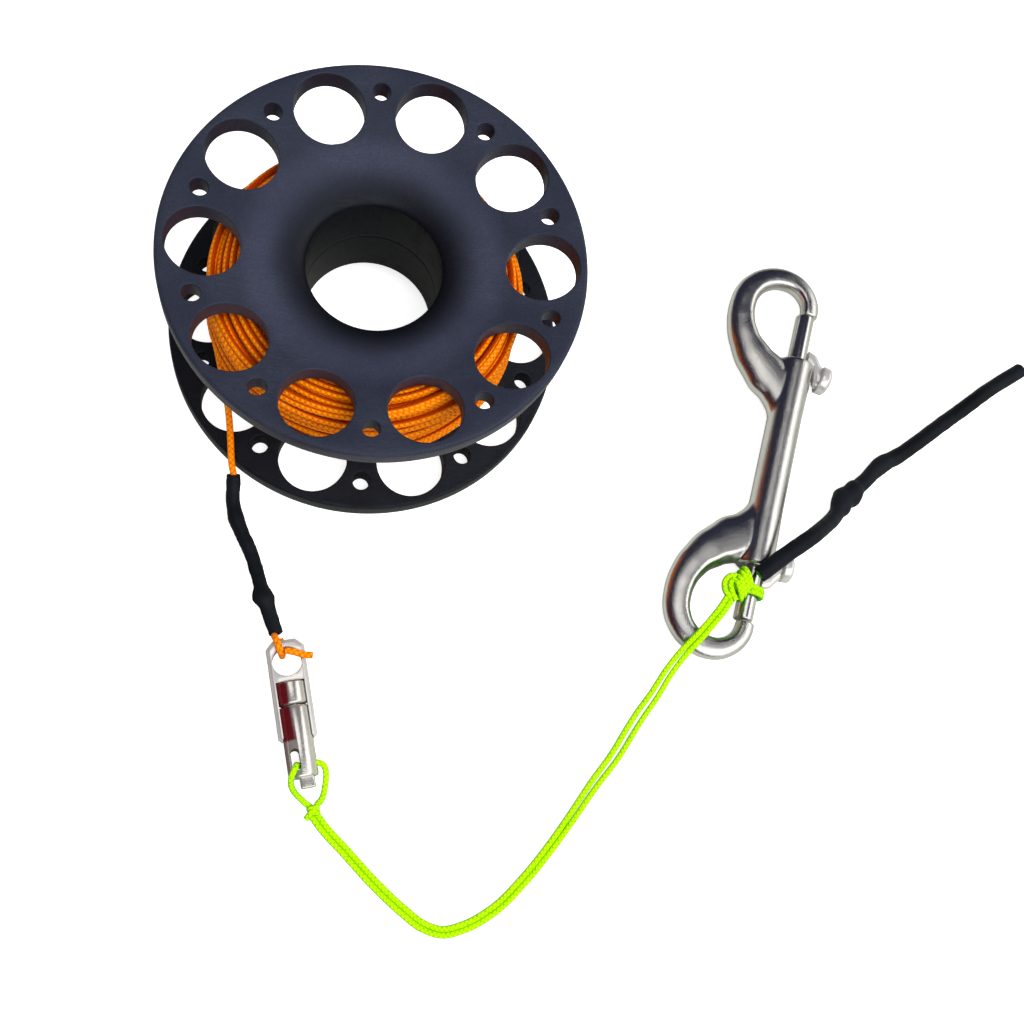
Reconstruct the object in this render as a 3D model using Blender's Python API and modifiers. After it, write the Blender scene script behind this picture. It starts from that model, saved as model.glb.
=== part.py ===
"""Finger spool with its line, in-line swivel connector, doubled leash and double-ended snap.

Metres, +Z up. The origin is the centre of the spool's underside, and everything lies on z = 0.
The spool stands at the origin, the connector and the snap each have an empty as their own frame:
their local X runs along the piece, and local Z is up.
"""
import math

import bmesh
import bpy
from mathutils import Matrix, Vector

# Spool: two pierced, dished flanges on a hollow hub that a finger goes through
flange_radius = 0.0450
spool_height = 0.0415
flange_wall = 0.0047
dish_angle = math.radians(11.3)
rim_round = 0.0009
rim_land = 0.0009
bore_radius = 0.01455
hub_radius = 0.0173
hub_fillet = 0.0014
trumpet_radius = 0.0220
trumpet_depth = 0.0079
trumpet_steps = 4
lap_depth = 0.0040
skirt_wall = 0.0012
spool_sides = 44

# The ten large and ten small holes of each flange
hole_count = 10
large_hole_radius = 0.0077
large_hole_margin = 0.0095
small_hole_radius = 0.0019
small_hole_margin = 0.0062
hole_turn = math.radians(3.5)
large_hole_sides = 20
small_hole_sides = 10

# Line and winding
line_diameter = 0.0015
winding_radius = 0.0338
winding_crown = 0.0050
winding_crown_steps = 4

# Shared clearances
seat_gap = 0.0003
running_gap = 0.0001
cut_overrun = 0.0010
merge_distance = 0.00001
sharp_angle = math.radians(35)
route_steps = 24

# The route of the free line, from the winding over the lower rim to the connector
lead_route = [
    (-0.0341, -0.0072, 0.0190), (-0.0326, -0.0130, 0.0172), (-0.0306, -0.0193, 0.0139),
    (-0.0285, -0.0262, 0.0104), (-0.0272, -0.0329, 0.0076), (-0.0267, -0.0363, 0.0065),
    (-0.0263, -0.0384, 0.0056), (-0.0258, -0.0400, 0.0045), (-0.0256, -0.0424, 0.0034),
    (-0.0254, -0.0453, 0.0025), (-0.0243, -0.0488, 0.0021), (-0.0225, -0.0527, 0.0020),
    (-0.0203, -0.0566, 0.0020), (-0.0182, -0.0613, 0.0022), (-0.0164, -0.0660, 0.0026),
    (-0.0144, -0.0704, 0.0024), (-0.0126, -0.0744, 0.0027),
]
lead_spacing = 0.0033

# Shrink sleeve over the line: its stretch of the route and its radii along that stretch
lead_sleeve_first = 7
lead_sleeve_radius = 0.0016
lead_sleeve_sides_resolution = 3
lead_sleeve_swell_shares = [1.05, 1.00, 1.00, 1.22, 1.00, 0.98, 0.98, 1.28, 1.00, 1.02]

# In-line swivel connector, in its own frame: X from the eye to the foot, Y across
connector_place = (-0.00959, -0.08070, 0.0036)
connector_turn = math.radians(-75.6)
plate_width = 0.0083
plate_thickness = 0.0032
plate_chamfer = 0.0008
plate_end = 0.0048
plate_corner = 0.0017
eye_hole_radius = 0.00315
eye_hole_sides = 28
arm_end = 0.0171
arm_corner = 0.0008
barrel_radius = 0.0032
barrel_sides = 24
collar_start = 0.0046
seam_place = 0.0094
cavity_radius = 0.0024
cavity_depth = 0.0030
barrel_end = 0.0249
barrel_edge = 0.0004
pin_radius = 0.0011
pin_head_radius = 0.0020
pin_head_length = 0.0016
pin_length = 0.0080
cord_slot_start = 0.0188
cord_slot_end = 0.0234
cord_slot_inner = -0.0003
cord_slot_outer = -0.0021
cord_hole_place = 0.0223
foot_length = 0.0022
foot_width = 0.0032
foot_offset = 0.0007
foot_thickness = 0.0020
foot_drop = 0.0014

# Line loop through the connector's eye, in the connector's frame
eye_loop_route = [
    (-0.0062, -0.0018, -0.0004), (-0.0058, -0.0018, 0.0010), (-0.0048, -0.0016, 0.0023),
    (-0.0035, -0.0013, 0.0027), (-0.0024, -0.0011, 0.0024), (-0.0018, -0.0009, 0.0012),
    (-0.0017, -0.0008, -0.0004), (-0.0019, -0.0007, -0.0018), (-0.0030, -0.0006, -0.0026),
    (-0.0044, -0.0006, -0.0026), (-0.0058, -0.0007, -0.0024),
]
eye_loop_spacing = 0.0009
tag_end_route = [(-0.0021, 0.0001, 0.0028), (-0.0015, 0.0017, 0.0030), (-0.0006, 0.0036, 0.0029),
                 (-0.0002, 0.0055, 0.0026)]
tag_end_spacing = 0.0014

# Leash cord, doubled from the connector to the snap
leash_cord_diameter = 0.0012
leash_strand_gap = 0.0003
leash_route = [
    (0.0000, -0.1135, 0.0010), (0.0013, -0.1147, 0.0009), (0.0040, -0.1164, 0.0007),
    (0.0069, -0.1186, 0.0007), (0.0129, -0.1248, 0.0007), (0.0197, -0.1302, 0.0007),
    (0.0246, -0.1333, 0.0007),
    (0.0285, -0.1342, 0.0007), (0.0331, -0.1329, 0.0007), (0.0392, -0.1291, 0.0007),
    (0.0456, -0.1223, 0.0007), (0.0505, -0.1158, 0.0007), (0.0551, -0.1089, 0.0007),
    (0.0601, -0.1010, 0.0007), (0.0638, -0.0957, 0.0008), (0.0694, -0.0855, 0.0026),
    (0.0720, -0.0809, 0.0052), (0.0745, -0.0760, 0.0072), (0.0777, -0.0714, 0.0082),
    (0.0812, -0.0674, 0.0085), (0.0839, -0.0640, 0.0087), (0.0862, -0.0609, 0.0088),
    (0.0880, -0.0580, 0.0089),
]
leash_spacing = 0.0036

# The loop of the leash through the swivelling barrel, in the connector's frame
leash_loop_route = [
    (0.0305, 0.0024, -0.0024), (0.0295, 0.0033, -0.0017), (0.0277, 0.0040, -0.0008),
    (0.0255, 0.0046, -0.0002), (0.0238, 0.0047, 0.0000), (0.0228, 0.0043, 0.0000),
    (0.0223, 0.0034, 0.0000), (0.0223, 0.0012, 0.0000), (0.0223, -0.0003, 0.0001),
    (0.0222, -0.0011, 0.0010), (0.0222, -0.0012, 0.0022), (0.0225, -0.0013, 0.0034),
    (0.0233, -0.0018, 0.0040), (0.0246, -0.0026, 0.0036), (0.0260, -0.0029, 0.0022),
    (0.0277, -0.0023, 0.0001), (0.0292, -0.0011, -0.0017), (0.0302, -0.0003, -0.0025),
]
leash_loop_spacing = 0.0010
loop_knot_place = (0.0318, 0.0010, -0.0021)
loop_knot_radius = 0.0015
loop_knot_height_share = 0.90
loop_knot_segments = 14
loop_knot_rings = 8

# Double-ended snap, in its own frame: X along the shank, Y towards the hooks' side
snap_place = (0.10046, -0.02259)
snap_turn = math.radians(78.63)
shank_half_length = 0.0272
shank_radius = 0.00445
shank_waist_radius = 0.00415
shank_waist_half_length = 0.0120
shank_sides = 24
hook_sides = 14
hook_spacing = 0.0027
hook_station_places = [
    (0.0070, 0.0002), (0.0120, 0.0012), (0.0175, 0.0042), (0.0240, 0.0100), (0.0305, 0.0146),
    (0.0380, 0.0162), (0.0443, 0.0141), (0.0481, 0.0088), (0.0478, 0.0040), (0.0455, 0.0008),
    (0.0425, -0.0006), (0.0404, -0.0007),
]
hook_half_widths = [0.0030, 0.0039, 0.0043, 0.0044, 0.0037, 0.0031, 0.0026, 0.0024, 0.0023, 0.0023,
                    0.0022, 0.0021]
hook_half_heights = [0.0024, 0.0030, 0.0033, 0.0032, 0.0029, 0.0026, 0.0024, 0.0023, 0.0022, 0.0022,
                     0.0022, 0.0021]
bolt_radius = 0.0023
bolt_sides = 20
bolt_nose = 0.0004
bolt_rear = 0.0160
bolt_travel = 0.0105
spring_well = 0.0018
stud_slot_width = 0.0027

# Thumb studs
stud_root_start = 0.0276
stud_root_end = 0.0316
stud_neck_width = 0.0020
stud_neck_start = 0.0243
stud_neck_end = 0.0268
stud_neck_reach = 0.0064
stud_spigot_radius = 0.0008
stud_spigot_depth = 0.0013
knob_radius = 0.0035
knob_thickness = 0.0030
knob_dome = 0.0011
knob_place = 0.0250
knob_tilt = math.radians(22)
knob_sides = 20

# Springs behind the bolts
spring_wire = 0.0004
spring_turns = 5
spring_points_per_turn = 8
spring_end_turns_share = 0.15

# Knot of the leash on the snap, in the snap's frame
snap_knot_place = (-0.0332, 0.0032, 0.0044)
snap_knot_turn = math.radians(-27.0)
snap_knot_radius = 0.0028
snap_knot_half_length = 0.0039
snap_knot_sides = 12
snap_knot_wraps = 3
steps_per_wrap = 3
knot_ring_places = [-0.0334, -0.0350]
knot_ring_sides = 16

# Sleeved tail beyond the knot
tail_route = [
    (0.0944, -0.0524, 0.0103), (0.0955, -0.0515, 0.0107), (0.0992, -0.0483, 0.0110),
    (0.1032, -0.0451, 0.0107), (0.1063, -0.0427, 0.0105), (0.1104, -0.0392, 0.0083),
    (0.1160, -0.0335, 0.0042), (0.1179, -0.0303, 0.0034), (0.1195, -0.0283, 0.0032),
    (0.1242, -0.0237, 0.0028), (0.1282, -0.0193, 0.0024), (0.1324, -0.0167, 0.0024),
    (0.1381, -0.0122, 0.0022), (0.1446, -0.0067, 0.0021), (0.1513, -0.0012, 0.0021),
    (0.1581, 0.0045, 0.0021), (0.1674, 0.0113, 0.0021),
]
tail_radius = 0.0020
tail_cord_radius = 0.0011
tail_spacing = 0.0038
tail_blind_length = 0.0040
tail_swell_shares = [1.05, 1.05, 1.03, 1.02, 1.02, 1.02, 1.38, 1.02, 0.98, 1.04, 0.95, 0.93, 0.92,
                     0.90, 0.90, 0.90, 0.88]

# Values that follow from the sizes above
half_height = spool_height / 2
dish_slope = math.tan(dish_angle)
land_outer = flange_radius - rim_round
land_inner = land_outer - rim_land
large_hole_pitch = flange_radius - large_hole_margin
small_hole_pitch = flange_radius - small_hole_margin
line_radius = line_diameter / 2
leash_cord_radius = leash_cord_diameter / 2
channel_radius = barrel_radius + running_gap + running_gap
snap_height = shank_radius
bolt_bore_radius = bolt_radius + running_gap
spring_radius = bolt_radius - spring_wire
stud_slot_end = (stud_neck_start + stud_root_start) / 2 - bolt_travel - seat_gap


def flange_face(radius):
    """Height of the upper flange's dished outer face at a radius."""
    return spool_height - max(0, land_inner - radius) * dish_slope


def flange_back(radius):
    """Height of the upper flange's inner face, parallel to the dished one."""
    return spool_height - flange_wall - (flange_radius - radius) * dish_slope


# Scene and helpers

for thing in list(bpy.data.objects):
    bpy.data.objects.remove(thing, do_unlink=True)

spool_collection = bpy.data.collections.new("finger_spool")
cutter_collection = bpy.data.collections.new("cutters")
for collection in (spool_collection, cutter_collection):
    bpy.context.scene.collection.children.link(collection)


def finish(name, colour, roughness, metallic=0.0):
    """A plain Principled material."""
    material = bpy.data.materials.new(name)
    material.use_nodes = True
    shader = material.node_tree.nodes["Principled BSDF"]
    shader.inputs["Base Color"].default_value = (*colour, 1.0)
    shader.inputs["Roughness"].default_value = roughness
    shader.inputs["Metallic"].default_value = metallic
    return material


spool_plastic = finish("spool_plastic", (0.030, 0.034, 0.048), 0.55)
line_orange = finish("line_orange", (0.80, 0.23, 0.01), 0.80)
leash_lime = finish("leash_lime", (0.50, 0.95, 0.01), 0.75)
shrink_black = finish("shrink_black", (0.018, 0.020, 0.026), 0.50)
cast_steel = finish("cast_steel", (0.62, 0.61, 0.59), 0.22, 1.0)
turned_steel = finish("turned_steel", (0.66, 0.65, 0.63), 0.28, 1.0)
spring_steel = finish("spring_steel", (0.55, 0.55, 0.56), 0.35, 1.0)


def place(thing, parent=None, location=(0, 0, 0), rotation=(0, 0, 0)):
    """Sets where an object stands under its parent."""
    thing.parent = parent
    thing.location = location
    thing.rotation_euler = rotation
    return thing


def keep(name, data, material):
    """An object of the part, with its own material."""
    thing = bpy.data.objects.new(name, data)
    data.materials.append(material)
    spool_collection.objects.link(thing)
    return thing


def guide(name, mesh):
    """A cutter: a mesh object that the build leaves out."""
    thing = bpy.data.objects.new(name, mesh)
    thing.hide_render = True
    thing.display_type = 'WIRE'
    cutter_collection.objects.link(thing)
    return thing


def combine(thing, cutter, operation='DIFFERENCE'):
    """Adds a Boolean modifier with one cutter."""
    modifier = thing.modifiers.new(cutter.name, 'BOOLEAN')
    modifier.operation = operation
    modifier.object = cutter


def soften(thing):
    """Shades a mesh object smooth but for its sharp edges."""
    thing.data.shade_smooth()
    thing.data.set_sharp_from_angle(angle=sharp_angle)
    return thing


def finished_mesh(bm, name):
    """Turns a bmesh into a mesh with its faces pointing out."""
    bmesh.ops.recalc_face_normals(bm, faces=bm.faces)
    mesh = bpy.data.meshes.new(name)
    bm.to_mesh(mesh)
    bm.free()
    return mesh


def rod_mesh(name, radius, start, end, sides, edge=0.0, end_radius=None):
    """A rod along local X from start to end, with an optional chamfer on its far end."""
    bm = bmesh.new()
    far_radius = radius if end_radius is None else end_radius
    bmesh.ops.create_cone(bm, cap_ends=True, segments=sides, radius1=radius, radius2=far_radius,
                          depth=end - start)
    bmesh.ops.translate(bm, vec=(0, 0, (start + end) / 2), verts=bm.verts)
    if edge:
        rim = [e for e in bm.edges if all(v.co.z > end - merge_distance for v in e.verts)]
        bmesh.ops.bevel(bm, geom=rim, offset=edge, segments=1, affect='EDGES')
    bmesh.ops.transform(bm, matrix=Matrix.Rotation(math.radians(90), 4, 'Y'), verts=bm.verts)
    return finished_mesh(bm, name)


def post_mesh(name, radius, bottom, top, sides, centre=(0, 0)):
    """A rod along Z from bottom to top."""
    bm = bmesh.new()
    bmesh.ops.create_cone(bm, cap_ends=True, segments=sides, radius1=radius, radius2=radius,
                          depth=top - bottom)
    bmesh.ops.translate(bm, vec=(*centre, (bottom + top) / 2), verts=bm.verts)
    return finished_mesh(bm, name)


def block_mesh(name, low, high, edge=0.0):
    """A box between two corners, with an optional chamfer on every edge."""
    bm = bmesh.new()
    bmesh.ops.create_cube(bm, size=1)
    size = [b - a for a, b in zip(low, high)]
    middle = [(a + b) / 2 for a, b in zip(low, high)]
    bmesh.ops.scale(bm, vec=size, verts=bm.verts)
    bmesh.ops.translate(bm, vec=middle, verts=bm.verts)
    if edge:
        bmesh.ops.bevel(bm, geom=bm.edges[:], offset=edge, segments=1, affect='EDGES')
    return finished_mesh(bm, name)


def turned(name, profile, sides, material):
    """A closed profile of (radius, height) points turned about Z with a Screw modifier."""
    mesh = bpy.data.meshes.new(name)
    count = len(profile)
    loop = [(i, (i + 1) % count) for i in range(count)]
    mesh.from_pydata([(r, 0, z) for r, z in profile], loop, [])
    thing = keep(name, mesh, material)
    screw = thing.modifiers.new("turn", 'SCREW')
    screw.steps = sides
    screw.render_steps = sides
    screw.use_merge_vertices = True
    screw.merge_threshold = merge_distance
    return thing


def arc(centre, radius, start, end, steps):
    """Points of an arc in the profile plane, angles in degrees."""
    angles = [math.radians(start + (end - start) * k / steps) for k in range(steps + 1)]
    return [(centre[0] + radius * math.cos(a), centre[1] + radius * math.sin(a)) for a in angles]


def smooth_route(route, spacing):
    """Points about one spacing apart on the smooth curve through a route's own points."""
    points = [Vector(p) for p in route]
    gaps = [(b - a).length for a, b in zip(points, points[1:])]
    slopes = [(points[1] - points[0]) / gaps[0]]
    for i in range(1, len(points) - 1):
        before = (points[i] - points[i - 1]) / gaps[i - 1]
        after = (points[i + 1] - points[i]) / gaps[i]
        slopes.append((before * gaps[i] + after * gaps[i - 1]) / (gaps[i - 1] + gaps[i]))
    slopes.append((points[-1] - points[-2]) / gaps[-1])
    fine = []
    for i, gap in enumerate(gaps):
        for k in range(route_steps):
            t = k / route_steps
            fine.append(points[i] * (1 + 2 * t) * (1 - t) ** 2 + slopes[i] * gap * t * (1 - t) ** 2
                        + points[i + 1] * t * t * (3 - 2 * t) - slopes[i + 1] * gap * t * t * (1 - t))
    fine.append(points[-1])
    run = [0.0]
    for a, b in zip(fine, fine[1:]):
        run.append(run[-1] + (b - a).length)
    count = max(2, round(run[-1] / spacing))
    result = []
    k = 0
    for i in range(count + 1):
        target = run[-1] * i / count
        while k < len(fine) - 2 and run[k + 1] < target:
            k += 1
        share = (target - run[k]) / (run[k + 1] - run[k])
        result.append(fine[k].lerp(fine[k + 1], min(1.0, share)))
    return result


def tube_curve(name, points, radius, swell=None, resolution=2):
    """A tube along a POLY spline; swell scales its radius at each point."""
    curve = bpy.data.curves.new(name, 'CURVE')
    curve.dimensions = '3D'
    spline = curve.splines.new('POLY')
    spline.points.add(len(points) - 1)
    for i, point in enumerate(points):
        spline.points[i].co = (*point, 1)
        spline.points[i].radius = swell[i] if swell else 1.0
    spline.use_smooth = True
    curve.bevel_depth = radius
    curve.bevel_resolution = resolution
    curve.use_fill_caps = True
    return curve


def curve_mesh(name, curve):
    """The welded mesh of a curve, so that it can be cut or can cut."""
    holder = bpy.data.objects.new(name, curve)
    spool_collection.objects.link(holder)
    evaluated = holder.evaluated_get(bpy.context.evaluated_depsgraph_get())
    mesh = bpy.data.meshes.new_from_object(evaluated)
    bpy.data.objects.remove(holder, do_unlink=True)
    bpy.data.curves.remove(curve)
    bm = bmesh.new()
    bm.from_mesh(mesh)
    bpy.data.meshes.remove(mesh)
    bmesh.ops.remove_doubles(bm, verts=bm.verts, dist=merge_distance)
    return finished_mesh(bm, name)


def outline_mesh(name, splines, half_thickness):
    """A flat outline, holes included, extruded to both sides of its plane."""
    curve = bpy.data.curves.new(name, 'CURVE')
    curve.dimensions = '2D'
    curve.fill_mode = 'BOTH'
    curve.extrude = half_thickness
    for points in splines:
        spline = curve.splines.new('POLY')
        spline.points.add(len(points) - 1)
        for i, point in enumerate(points):
            spline.points[i].co = (*point, 0, 1)
        spline.use_cyclic_u = True
    return curve_mesh(name, curve)


def along(values, count):
    """Values spread evenly over a length, read at count places."""
    result = []
    for i in range(count):
        place_in_values = (len(values) - 1) * i / (count - 1)
        k = min(int(place_in_values), len(values) - 2)
        share = place_in_values - k
        result.append(values[k] * (1 - share) + values[k + 1] * share)
    return result


# Spool

def trumpet_curve():
    """The bore's flare, from the straight bore to the dished face, lowest point first."""
    start = Vector((bore_radius, spool_height - trumpet_depth))
    corner = Vector((bore_radius, flange_face(bore_radius)))
    end = Vector((trumpet_radius, flange_face(trumpet_radius)))
    points = []
    for k in range(trumpet_steps + 1):
        t = k / trumpet_steps
        points.append(tuple(start * (1 - t) ** 2 + corner * 2 * t * (1 - t) + end * t * t))
    return points


def flange_profile(lap):
    """Half of the spool in section, above mid-height, from the rim down the outer side."""
    back_edge = flange_back(land_outer)
    fillet_centre_r = hub_radius + hub_fillet
    fillet_top = flange_back(fillet_centre_r)
    profile = arc((land_outer, spool_height - rim_round), rim_round, 90, 0, 2)
    profile += [(flange_radius, flange_back(flange_radius) + rim_round), (land_outer, back_edge)]
    profile += arc((fillet_centre_r, fillet_top - hub_fillet), hub_fillet, 90, 180, 2)
    profile += lap
    profile += trumpet_curve()
    profile += [(land_inner, spool_height)]
    return profile


lap_radius = hub_radius - skirt_wall
upper_lap = [(hub_radius, half_height - lap_depth), (lap_radius, half_height - lap_depth),
             (lap_radius, half_height + seat_gap / 2), (bore_radius, half_height + seat_gap / 2)]
lower_lap = [(hub_radius, half_height + lap_depth + seat_gap),
             (lap_radius - seat_gap, half_height + lap_depth + seat_gap),
             (lap_radius - seat_gap, half_height + seat_gap / 2),
             (bore_radius, half_height + seat_gap / 2)]


def drill_mesh():
    """All the holes of both flanges as one set of rods."""
    bm = bmesh.new()
    step = math.radians(360) / hole_count
    first = math.radians(90) + hole_turn
    rows = [(small_hole_radius, small_hole_pitch, small_hole_sides, first),
            (large_hole_radius, large_hole_pitch, large_hole_sides, first + step / 2)]
    for radius, pitch, sides, start in rows:
        for i in range(hole_count):
            angle = start - step * i
            spot = Matrix.Translation((pitch * math.cos(angle), pitch * math.sin(angle), half_height))
            spin = Matrix.Rotation(angle, 4, 'Z')
            bmesh.ops.create_cone(bm, cap_ends=True, segments=sides, radius1=radius, radius2=radius,
                                  depth=spool_height + cut_overrun, matrix=spot @ spin)
    return finished_mesh(bm, "flange_drills")


def build_spool():
    """Both halves, lapped at mid-height and drilled through together."""
    drills = guide("flange_drills", drill_mesh())
    upper = turned("spool_upper_half", flange_profile(upper_lap), spool_sides, spool_plastic)
    lower_profile = [(r, spool_height - z) for r, z in reversed(flange_profile(lower_lap))]
    lower = turned("spool_lower_half", lower_profile, spool_sides, spool_plastic)
    for half in (upper, lower):
        combine(half, drills)


def build_winding():
    """The wound line as one plain ring between the flanges, rounded like a heap of turns."""
    inner = hub_radius + seat_gap
    shoulder = winding_radius - winding_crown
    near_hub = inner + hub_fillet

    def under_flange(radius):
        return flange_back(radius) - seat_gap / math.cos(dish_angle)

    flat_end = half_height + line_diameter + line_diameter
    rise = under_flange(shoulder) - flat_end
    top = [(inner, under_flange(near_hub) - hub_fillet), (near_hub, under_flange(near_hub))]
    for k in range(winding_crown_steps + 1):
        angle = math.pi / 2 * (1 - k / winding_crown_steps)
        top.append((shoulder + winding_crown * math.cos(angle), flat_end + rise * math.sin(angle)))
    bottom = [(r, spool_height - z) for r, z in reversed(top)]
    turned("line_winding", top + bottom, spool_sides, line_orange)


# Line, its sleeve and its loop on the connector

def build_lead():
    """The free line, which runs on through its shrink sleeve."""
    points = smooth_route(lead_route, lead_spacing)
    keep("line_lead", tube_curve("line_lead", points, line_radius), line_orange)
    route = smooth_route(lead_route[lead_sleeve_first:], lead_spacing)
    outside = route[:-1]
    swell = along(lead_sleeve_swell_shares, len(outside))
    shell = curve_mesh("lead_sleeve", tube_curve("lead_sleeve", outside, lead_sleeve_radius, swell,
                                                 lead_sleeve_sides_resolution))
    sleeve = keep("lead_sleeve", shell, shrink_black)
    bore = tube_curve("lead_sleeve_bore", smooth_route(lead_route[lead_sleeve_first - 1:], lead_spacing),
                      line_radius + seat_gap)
    combine(sleeve, guide("lead_sleeve_bore", curve_mesh("lead_sleeve_bore", bore)))
    soften(sleeve)


def build_eye_loop(frame):
    """The line's loop through the eye, and its cut end."""
    loop = smooth_route(eye_loop_route, eye_loop_spacing)
    tag = smooth_route(tag_end_route, tag_end_spacing)
    place(keep("line_eye_loop", tube_curve("line_eye_loop", loop, line_radius - running_gap), line_orange),
          frame)
    place(keep("line_tag_end", tube_curve("line_tag_end", tag, line_radius - running_gap), line_orange),
          frame)


# Connector

def plate_outline():
    """The eye plate with its chamfered top corners and the ends of its two arms."""
    half = plate_width / 2
    side = [(-plate_end, half - plate_corner), (-plate_end + plate_corner, half),
            (arm_end - arm_corner, half), (arm_end, half - arm_corner)]
    return side + [(x, -y) for x, y in reversed(side)]


def plate_section():
    """The plate in cross-section, with its four long edges chamfered."""
    wide = plate_width / 2
    thick = plate_thickness / 2
    corner = [(thick, wide - plate_chamfer), (thick - plate_chamfer, wide)]
    half = corner + [(-x, y) for x, y in reversed(corner)]
    return half + [(-x, -y) for x, y in half]


def circle(radius, sides):
    """Points of a circle about the local origin."""
    turns = [math.radians(360) * k / sides for k in range(sides)]
    return [(radius * math.cos(a), radius * math.sin(a)) for a in turns]


def build_connector(frame):
    """The eye plate with its collar, and the barrel that turns on a headed pin."""
    plan = outline_mesh("connector_eye", [plate_outline(), circle(eye_hole_radius, eye_hole_sides)],
                        plate_thickness)
    eye = place(keep("connector_eye", plan, turned_steel), frame)
    length = arm_end + plate_end
    section = outline_mesh("plate_section", [plate_section()], length)
    section_guide = place(guide("plate_section", section), frame, rotation=(0, math.radians(90), 0))
    combine(eye, section_guide, 'INTERSECT')
    channel = rod_mesh("barrel_channel", channel_radius, collar_start - seat_gap, arm_end + cut_overrun,
                       barrel_sides)
    combine(eye, place(guide("barrel_channel", channel), frame))

    collar = rod_mesh("connector_collar", barrel_radius, collar_start, seam_place, barrel_sides)
    collar = soften(place(keep("connector_collar", collar, turned_steel), frame))
    cavity = rod_mesh("collar_cavity", cavity_radius, collar_start - cut_overrun,
                      collar_start + cavity_depth, barrel_sides)
    neck = rod_mesh("collar_neck", pin_radius + running_gap, collar_start, seam_place + cut_overrun,
                    barrel_sides)
    for hollow in (cavity, neck):
        combine(collar, place(guide(hollow.name, hollow), frame))

    head_end = collar_start + cavity_depth - seat_gap
    head_start = head_end - pin_head_length
    spindle = rod_mesh("connector_pin", pin_radius, head_start, head_start + pin_length, barrel_sides)
    pin = place(keep("connector_pin", spindle, turned_steel), frame)
    head = rod_mesh("pin_head", pin_head_radius, head_start, head_end, barrel_sides)
    combine(pin, place(guide("pin_head", head), frame), 'UNION')
    soften(pin)
    build_barrel(frame, head_start + pin_length)


def build_barrel(frame, pin_end):
    """The turning barrel: blind hole for the pin, slot and cross hole for the cord, and a foot."""
    barrel = rod_mesh("connector_barrel", barrel_radius, seam_place + seat_gap, barrel_end, barrel_sides,
                      barrel_edge)
    barrel = place(keep("connector_barrel", barrel, turned_steel), frame)
    foot_low = (barrel_end - foot_length, foot_offset - foot_width / 2, -foot_drop - foot_thickness / 2)
    foot_high = (barrel_end + foot_length, foot_offset + foot_width / 2, -foot_drop + foot_thickness / 2)
    foot = block_mesh("barrel_foot", foot_low, foot_high, barrel_edge)
    combine(barrel, place(guide("barrel_foot", foot), frame), 'UNION')
    pin_hole = rod_mesh("pin_hole", pin_radius + running_gap, seam_place - cut_overrun, pin_end + seat_gap,
                        barrel_sides)
    slot_low = (cord_slot_start, cord_slot_outer, -barrel_radius - cut_overrun)
    slot_high = (cord_slot_end, cord_slot_inner, barrel_radius + cut_overrun)
    slot = block_mesh("cord_slot", slot_low, slot_high)
    cross_radius = leash_cord_radius + seat_gap
    cross_start = (cord_slot_outer + cord_slot_inner) / 2
    cross = post_mesh("cord_hole", cross_radius, 0, barrel_radius - cross_start + cut_overrun,
                      barrel_sides // 2)
    combine(barrel, place(guide("pin_hole", pin_hole), frame))
    combine(barrel, place(guide("cord_slot", slot), frame))
    across = place(guide("cord_hole", cross), frame, (cord_hole_place, cross_start, 0),
                   (math.radians(-90), 0, 0))
    combine(barrel, across)
    soften(barrel)


# Leash

def strand_route(side):
    """One strand of the doubled leash, beside the leash's route."""
    points = smooth_route(leash_route, leash_spacing)
    offset = side * (leash_cord_radius + leash_strand_gap / 2)
    result = []
    for i, point in enumerate(points):
        run = points[min(i + 1, len(points) - 1)] - points[max(i - 1, 0)]
        across = Vector((-run.y, run.x, 0)).normalized()
        result.append(point + across * offset)
    return result


def build_leash(frame):
    """Both strands, the loop through the barrel and the knot that closes it."""
    for name, side in (("leash_inner_strand", 1), ("leash_outer_strand", -1)):
        keep(name, tube_curve(name, strand_route(side), leash_cord_radius), leash_lime)
    loop = smooth_route(leash_loop_route, leash_loop_spacing)
    place(keep("leash_loop", tube_curve("leash_loop", loop, leash_cord_radius), leash_lime), frame)
    bm = bmesh.new()
    bmesh.ops.create_uvsphere(bm, u_segments=loop_knot_segments, v_segments=loop_knot_rings,
                              radius=loop_knot_radius)
    bmesh.ops.scale(bm, vec=(1, 1, loop_knot_height_share), verts=bm.verts)
    knot = keep("leash_loop_knot", finished_mesh(bm, "leash_loop_knot"), leash_lime)
    soften(place(knot, frame, loop_knot_place))


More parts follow.
